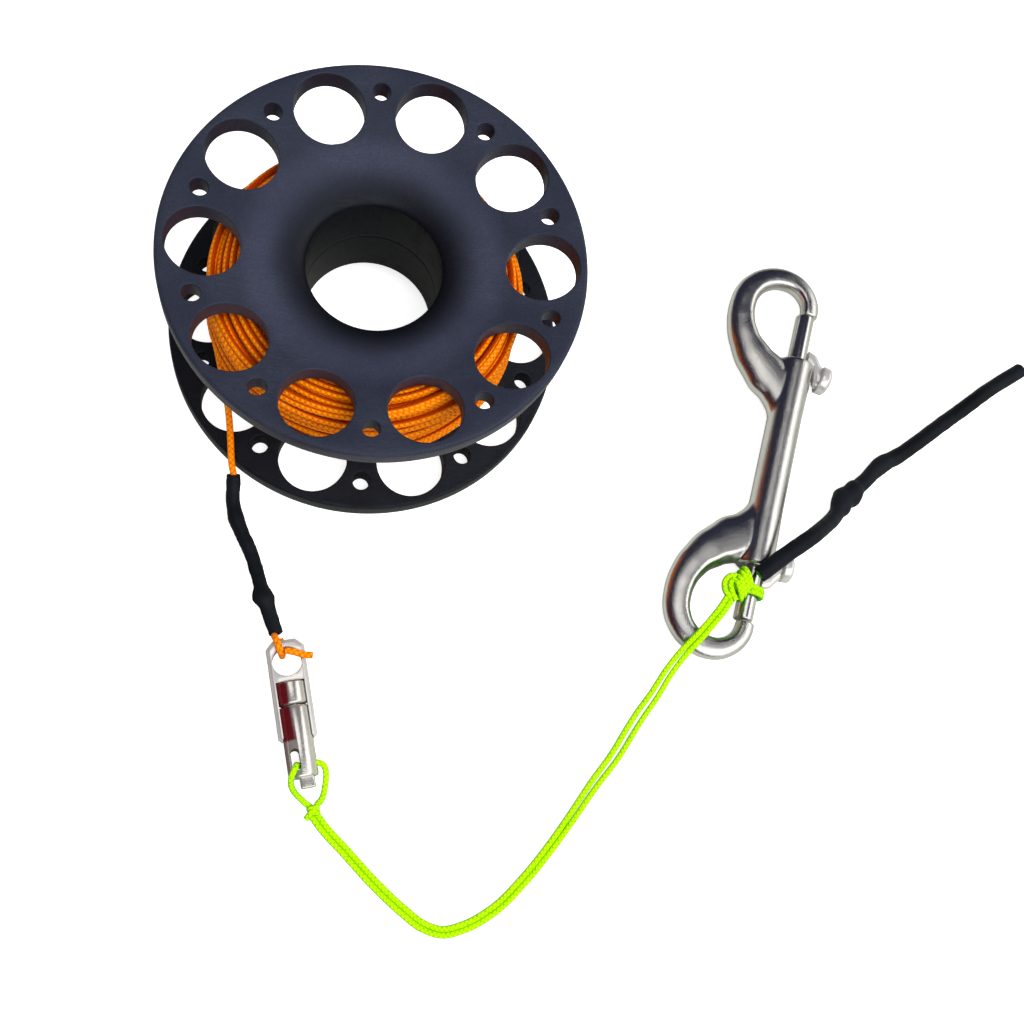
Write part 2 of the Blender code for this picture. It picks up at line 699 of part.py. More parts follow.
def build_snap_knot(frame):
    """The leash's knot: three wraps in line with the leash, and two turns round the bolt."""
    end_radius = snap_knot_radius / 2
    profile = [(0, snap_knot_half_length)]
    steps = snap_knot_wraps * steps_per_wrap
    for k in range(steps + 1):
        share = k / steps
        bulge = abs(math.sin(math.pi * snap_knot_wraps * share))
        belly = math.sqrt(max(0, 1 - (2 * share - 1) ** 2 / 2))
        radius = end_radius + (snap_knot_radius - end_radius) * belly * (1 + bulge) / 2
        profile.append((radius, snap_knot_half_length * (1 - 2 * share)))
    profile.append((0, -snap_knot_half_length))
    bm = bmesh.new()
    verts = [bm.verts.new((r, 0, z)) for r, z in profile]
    edges = [bm.edges.new(pair) for pair in zip(verts, verts[1:])]
    bmesh.ops.spin(bm, geom=verts + edges, cent=(0, 0, 0), axis=(0, 0, 1), angle=math.radians(360),
                   steps=snap_knot_sides, use_merge=True)
    bmesh.ops.remove_doubles(bm, verts=bm.verts, dist=merge_distance)
    bmesh.ops.transform(bm, matrix=Matrix.Rotation(math.radians(90), 4, 'Y'), verts=bm.verts)
    bmesh.ops.transform(bm, matrix=Matrix.Rotation(snap_knot_turn, 4, 'Z'), verts=bm.verts)
    bmesh.ops.translate(bm, vec=snap_knot_place, verts=bm.verts)
    knot = place(keep("leash_snap_knot", finished_mesh(bm, "leash_snap_knot"), leash_lime), frame)
    ring_radius = bolt_radius + seat_gap + leash_cord_radius
    for number, spot in enumerate(knot_ring_places):
        points = [(spot, y, z) for y, z in circle(ring_radius, knot_ring_sides)]
        curve = tube_curve("knot_ring", points, leash_cord_radius, resolution=1)
        curve.splines[0].use_cyclic_u = True
        ring = curve_mesh("knot_ring", curve)
        combine(knot, place(guide(f"knot_ring_{number + 1}", ring), frame), 'UNION')


def build_tail():
    """The leash's own ends beyond the knot, inside a shrink sleeve that is closed at its end."""
    route = smooth_route(tail_route, tail_spacing)
    swell = along(tail_swell_shares, len(route))
    shell = curve_mesh("tail_sleeve", tube_curve("tail_sleeve", route, tail_radius, swell))
    sleeve = keep("tail_sleeve", shell, shrink_black)
    blind = math.ceil(tail_blind_length / tail_spacing)
    first = route[0] + (route[0] - route[1]).normalized() * cut_overrun
    bore = tube_curve("tail_bore", [first] + route[1:-blind], tail_cord_radius + seat_gap)
    combine(sleeve, guide("tail_bore", curve_mesh("tail_bore", bore)))
    soften(sleeve)
    inside = route[:-blind]
    inside[-1] = inside[-1].lerp(inside[-2], seat_gap / tail_spacing)
    keep("leash_tail", tube_curve("leash_tail", inside, tail_cord_radius), leash_lime)


# Snap

def hook_mesh(side):
    """One hook, a loft of oval sections from inside the shank round to the tip."""
    centres = smooth_route([(x, y, 0) for x, y in hook_station_places], hook_spacing)
    widths = along(hook_half_widths, len(centres))
    heights = along(hook_half_heights, len(centres))
    bm = bmesh.new()
    rings = []
    for i, centre in enumerate(centres):
        run = centres[min(i + 1, len(centres) - 1)] - centres[max(i - 1, 0)]
        if i == len(centres) - 1:
            run = Vector((-1, 0, 0))
        across = Vector((-run.y, run.x, 0)).normalized()
        ring = []
        for y, z in circle(1, hook_sides):
            point = centre + across * y * widths[i] + Vector((0, 0, z * heights[i]))
            ring.append(bm.verts.new((side * point.x, point.y, point.z)))
        rings.append(ring)
    for first, second in zip(rings, rings[1:]):
        for k in range(hook_sides):
            m = (k + 1) % hook_sides
            bm.faces.new((first[k], first[m], second[m], second[k]))
    bm.faces.new(rings[0])
    bm.faces.new(rings[-1])
    return finished_mesh(bm, "snap_hook")


def shank_mesh():
    """The round shank with its slight waist, along local X."""
    bm = bmesh.new()
    stations = [(-shank_half_length, shank_radius), (-shank_waist_half_length, shank_waist_radius),
                (shank_waist_half_length, shank_waist_radius), (shank_half_length, shank_radius)]
    axis = [bm.verts.new((x, 0, 0)) for x in (-shank_half_length, shank_half_length)]
    line = [bm.verts.new((x, r, 0)) for x, r in stations]
    chain = [axis[0]] + line + [axis[1]]
    edges = [bm.edges.new(pair) for pair in zip(chain, chain[1:])]
    bmesh.ops.spin(bm, geom=chain + edges, cent=(0, 0, 0), axis=(1, 0, 0), angle=math.radians(360),
                   steps=shank_sides, use_merge=True)
    bmesh.ops.remove_doubles(bm, verts=bm.verts, dist=merge_distance)
    return finished_mesh(bm, "snap_body")


def build_snap_body(frame):
    """The cast body: shank and two hooks, bored and slotted for the bolts."""
    body = place(keep("snap_body", shank_mesh(), cast_steel), frame)
    for name, side in (("upper", 1), ("lower", -1)):
        hook = place(guide(f"{name}_hook", hook_mesh(side)), frame)
        combine(body, hook, 'UNION')
    for name, side in (("upper", 1), ("lower", -1)):
        ends = sorted((side * spring_well, side * (shank_half_length + 2 * bolt_radius)))
        bore = rod_mesh(f"{name}_bolt_bore", bolt_bore_radius, *ends, bolt_sides)
        combine(body, place(guide(f"{name}_bolt_bore", bore), frame))
        ends = sorted((side * stud_slot_end, side * (shank_half_length + cut_overrun)))
        slot = block_mesh(f"{name}_stud_slot", (ends[0], -shank_radius - cut_overrun, -stud_slot_width / 2),
                          (ends[1], 0, stud_slot_width / 2))
        combine(body, place(guide(f"{name}_stud_slot", slot), frame))
    soften(body)


def build_bolt(name, frame, side):
    """A sprung bolt with the thumb stud pressed into its side."""
    tip = hook_station_places[-1][0]
    nose = tip - seat_gap
    anchor = place(bpy.data.objects.new(f"{name}_bolt_axis", None), frame, (side * bolt_rear, 0, 0),
                   (0, 0, 0 if side > 0 else math.radians(180)))
    spool_collection.objects.link(anchor)
    bolt = rod_mesh(f"snap_{name}_bolt", bolt_radius, 0, nose - bolt_rear, bolt_sides, bolt_nose)
    bolt = place(keep(f"snap_{name}_bolt", bolt, turned_steel), anchor)
    root_middle = (stud_root_start + stud_root_end) / 2 - bolt_rear
    root_depth = bolt_radius + seat_gap
    hole = post_mesh(f"{name}_stud_hole", stud_spigot_radius + seat_gap, 0,
                     stud_spigot_depth + seat_gap + cut_overrun, knob_sides // 2)
    away = math.radians(90) * side
    floor = bolt_radius - stud_spigot_depth - seat_gap
    hole_place = (root_middle, -side * floor, 0)
    combine(bolt, place(guide(f"{name}_stud_hole", hole), anchor, hole_place, (away, 0, 0)))
    soften(bolt)

    neck = block_mesh("neck", (0, 0, -stud_neck_width / 2), (1, 1, stud_neck_width / 2))
    for vertex in neck.vertices:
        out = vertex.co.y > 0.5
        near, far = (stud_neck_start, stud_neck_end) if out else (stud_root_start, stud_root_end)
        vertex.co.x = (far if vertex.co.x > 0.5 else near) - bolt_rear
        vertex.co.y = -side * (stud_neck_reach + knob_thickness / 2 if out else root_depth)
    bm = bmesh.new()
    bm.from_mesh(neck)
    bpy.data.meshes.remove(neck)
    stud = place(keep(f"snap_{name}_stud", finished_mesh(bm, f"snap_{name}_stud"), turned_steel), anchor)
    spigot = post_mesh(f"{name}_stud_spigot", stud_spigot_radius, 0, stud_spigot_depth + root_depth / 2,
                       knob_sides // 2)
    spigot_place = (root_middle, -side * (bolt_radius - stud_spigot_depth), 0)
    combine(stud, place(guide(f"{name}_stud_spigot", spigot), anchor, spigot_place, (away, 0, 0)), 'UNION')
    disc = rod_mesh(f"{name}_knob", knob_radius, 0, knob_thickness, knob_sides, knob_dome)
    knob = place(guide(f"{name}_knob", disc), anchor, (knob_place - bolt_rear, -side * stud_neck_reach, 0),
                 (0, 0, -away - side * knob_tilt))
    combine(stud, knob, 'UNION')
    soften(stud)


def build_spring(name, frame, side):
    """A compression spring between the bottom of its well and the bolt."""
    start = spring_well + seat_gap + spring_wire / 2
    end = bolt_rear - seat_gap - spring_wire / 2
    count = spring_turns * spring_points_per_turn
    points = []
    for k in range(count + 1):
        share = k / count
        flat = spring_end_turns_share
        rise = min(1, max(0, (share - flat / 2) / (1 - flat)))
        angle = math.radians(360) * spring_turns * share
        coil = spring_radius - spring_wire / 2
        points.append((side * (start + (end - start) * rise), coil * math.cos(angle), coil * math.sin(angle)))
    curve = tube_curve(f"snap_{name}_spring", points, spring_wire / 2, resolution=1)
    place(keep(f"snap_{name}_spring", curve, spring_steel), frame)


def build_snap(frame):
    """The body, and at each end a bolt, its stud and its spring."""
    build_snap_body(frame)
    for name, side in (("upper", 1), ("lower", -1)):
        build_bolt(name, frame, side)
        build_spring(name, frame, side)


def frame_empty(name, location, turn):
    """An empty that carries a piece's own frame."""
    empty = bpy.data.objects.new(name, None)
    spool_collection.objects.link(empty)
    return place(empty, None, location, (0, 0, turn))


connector_frame = frame_empty("connector_frame", connector_place, connector_turn)
snap_frame = frame_empty("snap_frame", (*snap_place, snap_height), snap_turn)

build_spool()
build_winding()
build_lead()
build_eye_loop(connector_frame)
build_connector(connector_frame)
build_leash(connector_frame)
build_snap_knot(snap_frame)
build_tail()
build_snap(snap_frame)
bpy.context.view_layer.update()
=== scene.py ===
# %% [markdown]
# # A finger spool with its line, swivel, leash and double-ended snap
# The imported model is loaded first. It is the fixed frame of everything here: each visible piece
# is built where its solid stands, and rides on the body that the solid belongs to.

# %% Load the frame
import math

import bmesh
import bpy
from mathutils import Matrix, Vector, geometry, noise


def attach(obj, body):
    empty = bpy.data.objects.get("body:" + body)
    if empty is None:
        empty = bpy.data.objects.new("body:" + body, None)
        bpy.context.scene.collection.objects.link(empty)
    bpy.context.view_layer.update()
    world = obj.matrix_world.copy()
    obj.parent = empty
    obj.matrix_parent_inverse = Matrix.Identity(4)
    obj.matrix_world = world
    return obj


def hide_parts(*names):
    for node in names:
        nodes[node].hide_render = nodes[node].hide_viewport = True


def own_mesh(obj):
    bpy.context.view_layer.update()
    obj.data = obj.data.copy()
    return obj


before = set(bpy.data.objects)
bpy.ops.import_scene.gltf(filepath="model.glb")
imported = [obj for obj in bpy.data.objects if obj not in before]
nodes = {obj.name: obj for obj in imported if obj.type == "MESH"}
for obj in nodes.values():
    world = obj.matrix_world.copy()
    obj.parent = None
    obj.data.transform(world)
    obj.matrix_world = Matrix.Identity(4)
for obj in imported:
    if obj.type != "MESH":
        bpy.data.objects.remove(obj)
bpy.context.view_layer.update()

fixed_body = "spool_and_line"
barrel_body = "swivel_barrel"

# %% [markdown]
# ## Camera
# The photograph looks down on the table from the front. The camera was fitted to both flanges
# of the spool and to all of their holes, so its place and its two axes are given as numbers.

# %% Camera
camera_place = Vector((-0.00531, -0.12894, 0.28452))
camera_right = Vector((0.9840431, 0.0586835, 0.1679745))
camera_up = Vector((-0.1048290, 0.9540174, 0.2808234))

camera_data = bpy.data.cameras.new("camera")
camera_data.lens = 45.46
camera_data.sensor_width = 36.0
camera_data.clip_start = 0.005
camera = bpy.data.objects.new("camera", camera_data)
camera_turn = Matrix((camera_right, camera_up, camera_right.cross(camera_up))).transposed()
camera.matrix_world = Matrix.Translation(camera_place) @ camera_turn.to_4x4()
bpy.context.scene.collection.objects.link(camera)
bpy.context.scene.camera = camera
print("camera stands", round(camera_place.length, 3), "m from the spool's underside")

# %% [markdown]
# ## The real sizes
# These repeat the sizes of the solids, in metres, so that each finer mesh fills the same room.

# %% Sizes
flange_radius = 0.0450
spool_height = 0.0415
flange_wall = 0.0047
dish_slope = math.tan(math.radians(11.3))
rim_round = 0.0009
rim_land = 0.0009
bore_radius = 0.01455
hub_radius = 0.0173
hub_fillet = 0.0014
trumpet_radius = 0.0220
trumpet_depth = 0.0079
large_hole_radius = 0.0077
large_hole_pitch = 0.0355
small_hole_radius = 0.0019
small_hole_pitch = 0.0388
hole_count = 10
hole_turn = math.radians(3.5)
line_radius = 0.00075
leash_radius = 0.00067
bolt_radius = 0.0023
half_height = spool_height / 2
land_outer = flange_radius - rim_round
land_inner = land_outer - rim_land


def standing(place, degrees, axis='Z'):
    """A frame that stands at a place and is turned about one axis."""
    return Matrix.Translation(place) @ Matrix.Rotation(math.radians(degrees), 4, axis)


connector_frame = standing((-0.00959, -0.08070, 0.0036), -75.6)
snap_frame = standing((0.10046, -0.02259, 0.00445), 78.63)


def flange_face(radius):
    """Height of the upper flange's dished outer face."""
    return spool_height - max(0.0, land_inner - radius) * dish_slope


def flange_back(radius):
    """Height of the upper flange's inner face, parallel to the dished one."""
    return spool_height - flange_wall - (flange_radius - radius) * dish_slope


# %% [markdown]
# ## Routes of the cords
# A cord is soft, so its route is given as a list of points, with a smooth curve through
# them. The same points shape the plain tubes of the solid model, but for the leash's first three.
# The leash lies in a long bend on the table and rises over the snap, and the sleeved tail crosses
# the snap's bolt and comes down. Routes whose frame is a piece's own are placed later.

# %% Routes
def from_mm(*rows):
    """Rows of millimetres, in metres."""
    return [tuple(round(value / 1000, 8) for value in row) for row in rows]


lead_route = from_mm(
    (-34.1, -7.2, 19.0), (-32.6, -13.0, 17.2), (-30.6, -19.3, 13.9), (-28.5, -26.2, 10.4),
    (-27.2, -32.9, 7.6), (-26.7, -36.3, 6.5), (-26.3, -38.4, 5.6), (-25.8, -40.0, 4.5),
    (-25.6, -42.4, 3.4), (-25.4, -45.3, 2.5), (-24.3, -48.8, 2.1), (-22.5, -52.7, 2.0),
    (-20.3, -56.6, 2.0), (-18.2, -61.3, 2.2), (-16.4, -66.0, 2.6), (-14.4, -70.4, 2.4),
    (-12.6, -74.4, 2.7))
lead_sleeve_first = 7
eye_loop_route = from_mm(
    (-6.2, -1.8, -0.4), (-5.8, -1.8, 1.0), (-4.8, -1.6, 2.3), (-3.5, -1.3, 2.7), (-2.4, -1.1, 2.4),
    (-1.8, -0.9, 1.2), (-1.7, -0.8, -0.4), (-1.9, -0.7, -1.8), (-3.0, -0.6, -2.6), (-4.4, -0.6, -2.6),
    (-5.8, -0.7, -2.4))
tag_end_route = from_mm((-2.1, 0.1, 2.8), (-1.5, 1.7, 3.0), (-0.6, 3.6, 2.9), (-0.2, 5.5, 2.6))
leash_route = from_mm(
    (-0.9, -111.6, 1.3), (1.4, -114.3, 1.0), (6.8, -119.2, 0.7), (12.9, -124.8, 0.7), (19.7, -130.2, 0.7),
    (24.6, -133.3, 0.7), (28.5, -134.2, 0.7), (33.1, -132.9, 0.7), (39.2, -129.1, 0.7), (45.6, -122.3, 0.7),
    (50.5, -115.8, 0.7), (55.1, -108.9, 0.7), (60.1, -101.0, 0.7), (63.8, -95.7, 0.8), (69.4, -85.5, 2.6),
    (72.0, -80.9, 5.2), (74.5, -76.0, 7.2), (77.7, -71.4, 8.2), (81.2, -67.4, 8.5), (83.9, -64.0, 8.7),
    (86.2, -60.9, 8.8), (88.0, -58.0, 8.9))
leash_loop_route = from_mm(
    (30.5, 2.4, -2.4), (29.5, 3.3, -1.7), (27.7, 4.0, -0.8), (25.5, 4.6, -0.2), (23.8, 4.7, 0.0),
    (22.8, 4.3, 0.0), (22.3, 3.4, 0.0), (22.3, 1.2, 0.0), (22.3, -0.3, 0.1), (22.2, -1.1, 1.0),
    (22.2, -1.2, 2.2), (22.5, -1.3, 3.4), (23.3, -1.8, 4.0), (24.6, -2.6, 3.6), (26.0, -2.9, 2.2),
    (27.7, -2.3, 0.1), (29.2, -1.1, -1.7), (30.2, -0.3, -2.5))
tail_route = from_mm(
    (94.4, -52.4, 10.3), (95.5, -51.5, 10.7), (99.2, -48.3, 11.0), (103.2, -45.1, 10.7), (106.3, -42.7, 10.5),
    (110.4, -39.2, 8.3), (116.0, -33.5, 4.2), (117.9, -30.3, 3.4), (119.5, -28.3, 3.2), (124.2, -23.7, 2.8),
    (128.2, -19.3, 2.4), (132.4, -16.7, 2.4), (138.1, -12.2, 2.2), (144.6, -6.7, 2.1), (151.3, -1.2, 2.1),
    (158.1, 4.5, 2.1), (167.4, 11.3, 2.1))


def ease(share):
    """A share from 0 to 1 that starts and ends slowly."""
    return share * share * (3 - 2 * share)


def smooth_path(route, spacing):
    """Points about one spacing apart on the smooth curve through a route's own points."""
    points = [Vector(p) for p in route]
    gaps = [(b - a).length for a, b in zip(points, points[1:])]
    slopes = [(points[1] - points[0]) / gaps[0]]
    for i in range(1, len(points) - 1):
        before = (points[i] - points[i - 1]) / gaps[i - 1]
        after = (points[i + 1] - points[i]) / gaps[i]
        slopes.append((before * gaps[i] + after * gaps[i - 1]) / (gaps[i - 1] + gaps[i]))
    slopes.append((points[-1] - points[-2]) / gaps[-1])
    path = []
    for i, gap in enumerate(gaps):
        steps = max(1, round(gap / spacing))
        for k in range(steps):
            t = k / steps
            path.append(points[i] * (1 + 2 * t) * (1 - t) ** 2 + slopes[i] * gap * t * (1 - t) ** 2
                        + points[i + 1] * ease(t) - slopes[i + 1] * gap * t * t * (1 - t))
    path.append(points[-1])
    return path


def path_length(path):
    """Length of a path in metres."""
    return sum((b - a).length for a, b in zip(path, path[1:]))


def run_at(path, i):
    """The path's direction at one of its points, as long as the gap that it spans."""
    return path[min(i + 1, len(path) - 1)] - path[max(i - 1, 0)]


def put(matrix, points):
    """Points moved from a piece's own frame to the world."""
    return [matrix @ Vector(p) for p in points]


def placed_path(matrix, spacing, *route):
    """A smooth path through millimetre points of a piece's own frame, in the world."""
    return put(matrix, smooth_path(from_mm(*route), spacing))


print("lead", round(path_length(smooth_path(lead_route, 0.001)), 4), "m, leash",
      round(path_length(smooth_path(leash_route, 0.001)), 4), "m")

# %% [markdown]
# ## Shader building blocks
# Two effects are used by several finishes, so each is a node group that is built once. The first
# is the braid of a cord: two families of threads that wind in opposite directions and pass over
# and under each other. It reads an attribute that the cord's mesh carries: where a point lies
# round the cord (as a cosine and a sine) and how far along it lies. The second is a fine grain
# with scuffs, for moulded plastic, shrink tube and metal.

# %% Node helpers
def wire(tree, socket, value):
    """Links an input when the value is a socket, and sets it otherwise."""
    if isinstance(value, bpy.types.NodeSocket):
        tree.links.new(value, socket)
    else:
        socket.default_value = value


def add_node(tree, kind, inputs=None, **settings):
    """A node with its settings; each input is a socket or a plain value."""
    node = tree.nodes.new(kind)
    for key, value in settings.items():
        setattr(node, key, value)
    for key, value in (inputs or {}).items():
        wire(tree, node.inputs[key], value)
    return node


def calc(tree, operation, *parts):
    """A Math node; each part is a socket, a number or a further (operation, part, part)."""
    made = [calc(tree, *part) if isinstance(part, tuple) else part for part in parts]
    return add_node(tree, 'ShaderNodeMath', dict(enumerate(made)), operation=operation).outputs[0]


def mix_values(share, first, second):
    """What calc needs for first where share is 0 and second where it is 1."""
    return 'ADD', ('MULTIPLY', first, ('SUBTRACT', 1.0, share)), ('MULTIPLY', second, share)


def blend(tree, share, first, second):
    """A colour: first where share is 0 and second where it is 1."""
    first, second = ((*c, 1.0) if isinstance(c, tuple) else c for c in (first, second))
    return add_node(tree, 'ShaderNodeMix', {"Factor": share, "A": first, "B": second},
                    data_type='RGBA').outputs["Result"]


def vector_math(tree, operation, *inputs):
    """A Vector Math node."""
    return add_node(tree, 'ShaderNodeVectorMath', dict(enumerate(inputs)), operation=operation)


def ramp_up(tree, value, start, full, kind='SMOOTHSTEP'):
    """0 up to start and 1 from full on."""
    return add_node(tree, 'ShaderNodeMapRange', {"Value": value, "From Min": start, "From Max": full},
                    interpolation_type=kind).outputs["Result"]


def facing(tree, vector, direction, start, full, kind='SMOOTHSTEP'):
    """How far a vector points along a direction, from 0 at start to 1 at full."""
    along = vector_math(tree, 'DOT_PRODUCT', vector, direction).outputs["Value"]
    return ramp_up(tree, along, start, full, kind)


def noise_texture(tree, vector, scale, detail, **more):
    """The value of a Noise Texture."""
    inputs = {"Vector": vector, "Scale": scale, "Detail": detail, **more}
    return add_node(tree, 'ShaderNodeTexNoise', inputs).outputs[0]


def object_place(tree):
    """Where a point lies in its piece, which is also its place in the world at rest."""
    return add_node(tree, 'ShaderNodeTexCoord').outputs["Object"]


def new_group(name, inputs, outputs):
    """An empty shader node group; an input without a default value is a vector."""
    tree = bpy.data.node_groups.new(name, 'ShaderNodeTree')
    for label, value in inputs.items():
        kind = 'NodeSocketVector' if value is None else 'NodeSocketFloat'
        socket = tree.interface.new_socket(label, in_out='INPUT', socket_type=kind)
        if value is not None:
            socket.default_value = value
    for label in outputs:
        tree.interface.new_socket(label, in_out='OUTPUT', socket_type='NodeSocketFloat')
    return tree, tree.nodes.new('NodeGroupInput').outputs, tree.nodes.new('NodeGroupOutput').inputs


# %% Braid group
def build_braid_group():
    """Height of the crossing threads of a round braid."""
    tree, given, result = new_group("round_braid", {"Place": None, "Stitch Length": 0.0009, "Threads": 4.0},
                                    ["Height"])
    dip = 0.55
    spot = add_node(tree, 'ShaderNodeSeparateXYZ', {0: given["Place"]}).outputs
    around = calc(tree, 'MULTIPLY', ('DIVIDE', ('ARCTAN2', spot["Y"], spot["X"]), math.tau), given["Threads"])
    along = calc(tree, 'DIVIDE', spot["Z"], given["Stitch Length"])
    families = [calc(tree, way, along, around) for way in ('ADD', 'SUBTRACT')]
    crowns = [calc(tree, 'SINE', ('MULTIPLY', ('FRACT', family), math.pi)) for family in families]
    parity = calc(tree, 'PINGPONG', ('ADD', ('FLOOR', families[0]), ('FLOOR', families[1])), 1.0)
    over, under = [('MULTIPLY', own, mix_values(dip, 1.0, other)) for own, other in (crowns, crowns[::-1])]
    wire(tree, result["Height"], calc(tree, *mix_values(parity, over, under)))
    return tree


braid_group = build_braid_group()


# %% Grain group
def build_grain_group():
    """A fine grain for bump and roughness, long thin scuffs as a mask, and slow blotches."""
    tree, given, result = new_group("grain_and_scuffs", {"Grain Scale": 4000.0, "Scuff Scale": 160.0},
                                    ["Grain", "Scuff", "Blotch"])
    place = object_place(tree)
    thinness, patch_start, patch_gain = 55.0, 0.46, 6.0
    scuffs = []
    for turn in (0.5, 1.9, 2.7):
        stretched = add_node(tree, 'ShaderNodeMapping', {"Vector": place, "Rotation": (0.0, 0.0, turn),
                                                         "Scale": (0.10, 2.6, 1.0)}).outputs["Vector"]
        streak = noise_texture(tree, stretched, given["Scuff Scale"], 6.0, Roughness=0.7)
        away = ('ABSOLUTE', ('SUBTRACT', streak, 0.5))
        scuffs.append(calc(tree, 'MAXIMUM', 0.0, ('SUBTRACT', 1.0, ('MULTIPLY', away, thinness))))
    blotch = noise_texture(tree, place, 70.0, 5.0)
    patch = ('MINIMUM', 1.0, ('MAXIMUM', 0.0, ('MULTIPLY', ('SUBTRACT', blotch, patch_start), patch_gain)))
    scuff = ('MAXIMUM', scuffs[0], ('MAXIMUM', scuffs[1], scuffs[2]))
    wire(tree, result["Grain"], noise_texture(tree, place, given["Grain Scale"], 3.0))
    wire(tree, result["Scuff"], calc(tree, 'MULTIPLY', scuff, patch))
    wire(tree, result["Blotch"], blotch)
    return tree


grain_group = build_grain_group()

# %% [markdown]
# ## Finishes
# Each finish starts as a plain Principled shader. What is the same all over a surface is set on
# the shader's own sockets, and only what changes over the surface comes in through nodes.

# %% Finish helpers
def new_finish(name, **values):
    """A material, its tree and its Principled shader, with uniform values on the shader's sockets."""
    material = bpy.data.materials.new(name)
    material.use_nodes = True
    shader = material.node_tree.nodes["Principled BSDF"]
    for label, value in values.items():
        shader.inputs[label.replace("_", " ")].default_value = value
    return material, material.node_tree, shader


def group_node(tree, group, inputs):
    """The outputs of a group node."""
    return add_node(tree, 'ShaderNodeGroup', inputs, node_tree=group).outputs


def colour_ramp(tree, value, *stops):
    """A colour for each value, through a Color Ramp."""
    ramp = tree.nodes.new('ShaderNodeValToRGB')
    first, last = ramp.color_ramp.elements
    for element, (place, colour) in ((first, stops[0]), (last, stops[-1])):
        element.position = place
        element.color = (*colour, 1.0)
    for place, colour in stops[1:-1]:
        ramp.color_ramp.elements.new(place).color = (*colour, 1.0)
    wire(tree, ramp.inputs[0], value)
    return ramp.outputs[0]


def add_bump(tree, shader, height, distance):
    """A Bump node between a height and the shader's normal."""
    bump = add_node(tree, 'ShaderNodeBump', {"Height": height, "Distance": distance, "Strength": 1.0})
    wire(tree, shader.inputs["Normal"], bump.outputs[0])


def add_roughness(tree, shader, grain, least, grain_share, scuff_share=0.0):
    """Roughness that the grain and the scuffs raise."""
    rough = ('ADD', least, ('MULTIPLY', grain["Grain"], grain_share))
    if scuff_share:
        rough = ('ADD', rough, ('MULTIPLY', grain["Scuff"], scuff_share))
    wire(tree, shader.inputs["Roughness"], calc(tree, *rough))


# %% [markdown]
# ### Braided cords
# Both cords are braided from shiny yarn. Their colour follows the braid's relief: the crowns carry a
# painted highlight, the gaps between the stitches carry painted shade, deep and saturated, and a slow
# noise along the cord keeps the colour from looking printed. The flanks of wound line and of the
# leash are darker than their tops, which is painted shade too.

# %% Cord finishes
def cord_finish(name, tones, stitch, relief, groove_shade=None, wound=False, flank=(-0.05, 0.42)):
    """A braided cord's finish, from the painted-shade colour of its gaps to the painted-highlight
    colour of its crowns. With a groove shade colour, the flanks get painted shade: on wound line
    those that don't face away from the hub, and otherwise those that don't face up."""
    material, tree, shader = new_finish(name, Roughness=0.62, Specular_IOR_Level=0.08)
    spot = add_node(tree, 'ShaderNodeAttribute', attribute_name="braid_place").outputs["Vector"]
    height = group_node(tree, braid_group, {"Place": spot, "Stitch Length": stitch, "Threads": 3.0})["Height"]
    place = object_place(tree)
    wear = ('MULTIPLY', ('SUBTRACT', noise_texture(tree, place, 900.0, 4.0), 0.5), 0.8)
    deep, middle, bright = tones
    # The braid's relief sets the colour: painted shade in the gaps, a painted highlight on the crowns.
    colour = colour_ramp(tree, calc(tree, 'ADD', height, wear), (0.0, deep), (0.30, middle), (0.90, bright))
    # Painted shade: flanks that turn away from outward take the darker groove colour.
    if groove_shade:
        outward = (0.0, 0.0, 1.0)
        if wound:
            flat = vector_math(tree, 'MULTIPLY', place, (1.0, 1.0, 0.0)).outputs[0]
            outward = vector_math(tree, 'NORMALIZE', flat).outputs[0]
        normal = add_node(tree, 'ShaderNodeNewGeometry').outputs["Normal"]
        colour = blend(tree, facing(tree, normal, outward, *flank, 'LINEAR'), groove_shade, colour)
    wire(tree, shader.inputs["Base Color"], colour)
    add_bump(tree, shader, height, relief)
    return material


# Tones run from the gaps' painted shade through the yarn's own colour to the crowns' painted highlight.
line_tones = ((0.66, 0.075, 0.001), (1.0, 0.21, 0.001), (1.0, 0.34, 0.004))
leash_tones = ((0.10, 0.52, 0.001), (0.42, 0.93, 0.001), (0.58, 1.0, 0.002))
line_finish = cord_finish("line_orange", line_tones, 0.00120, 0.00008)
# The third colour given to wound line and leash is the painted shade of their flanks.
winding_finish = cord_finish("wound_orange", line_tones, 0.00120, 0.00010, (0.42, 0.045, 0.001), True)
leash_finish = cord_finish("leash_lime", leash_tones, 0.00100, 0.00008, (0.075, 0.40, 0.001),
                           flank=(0.05, 0.72))
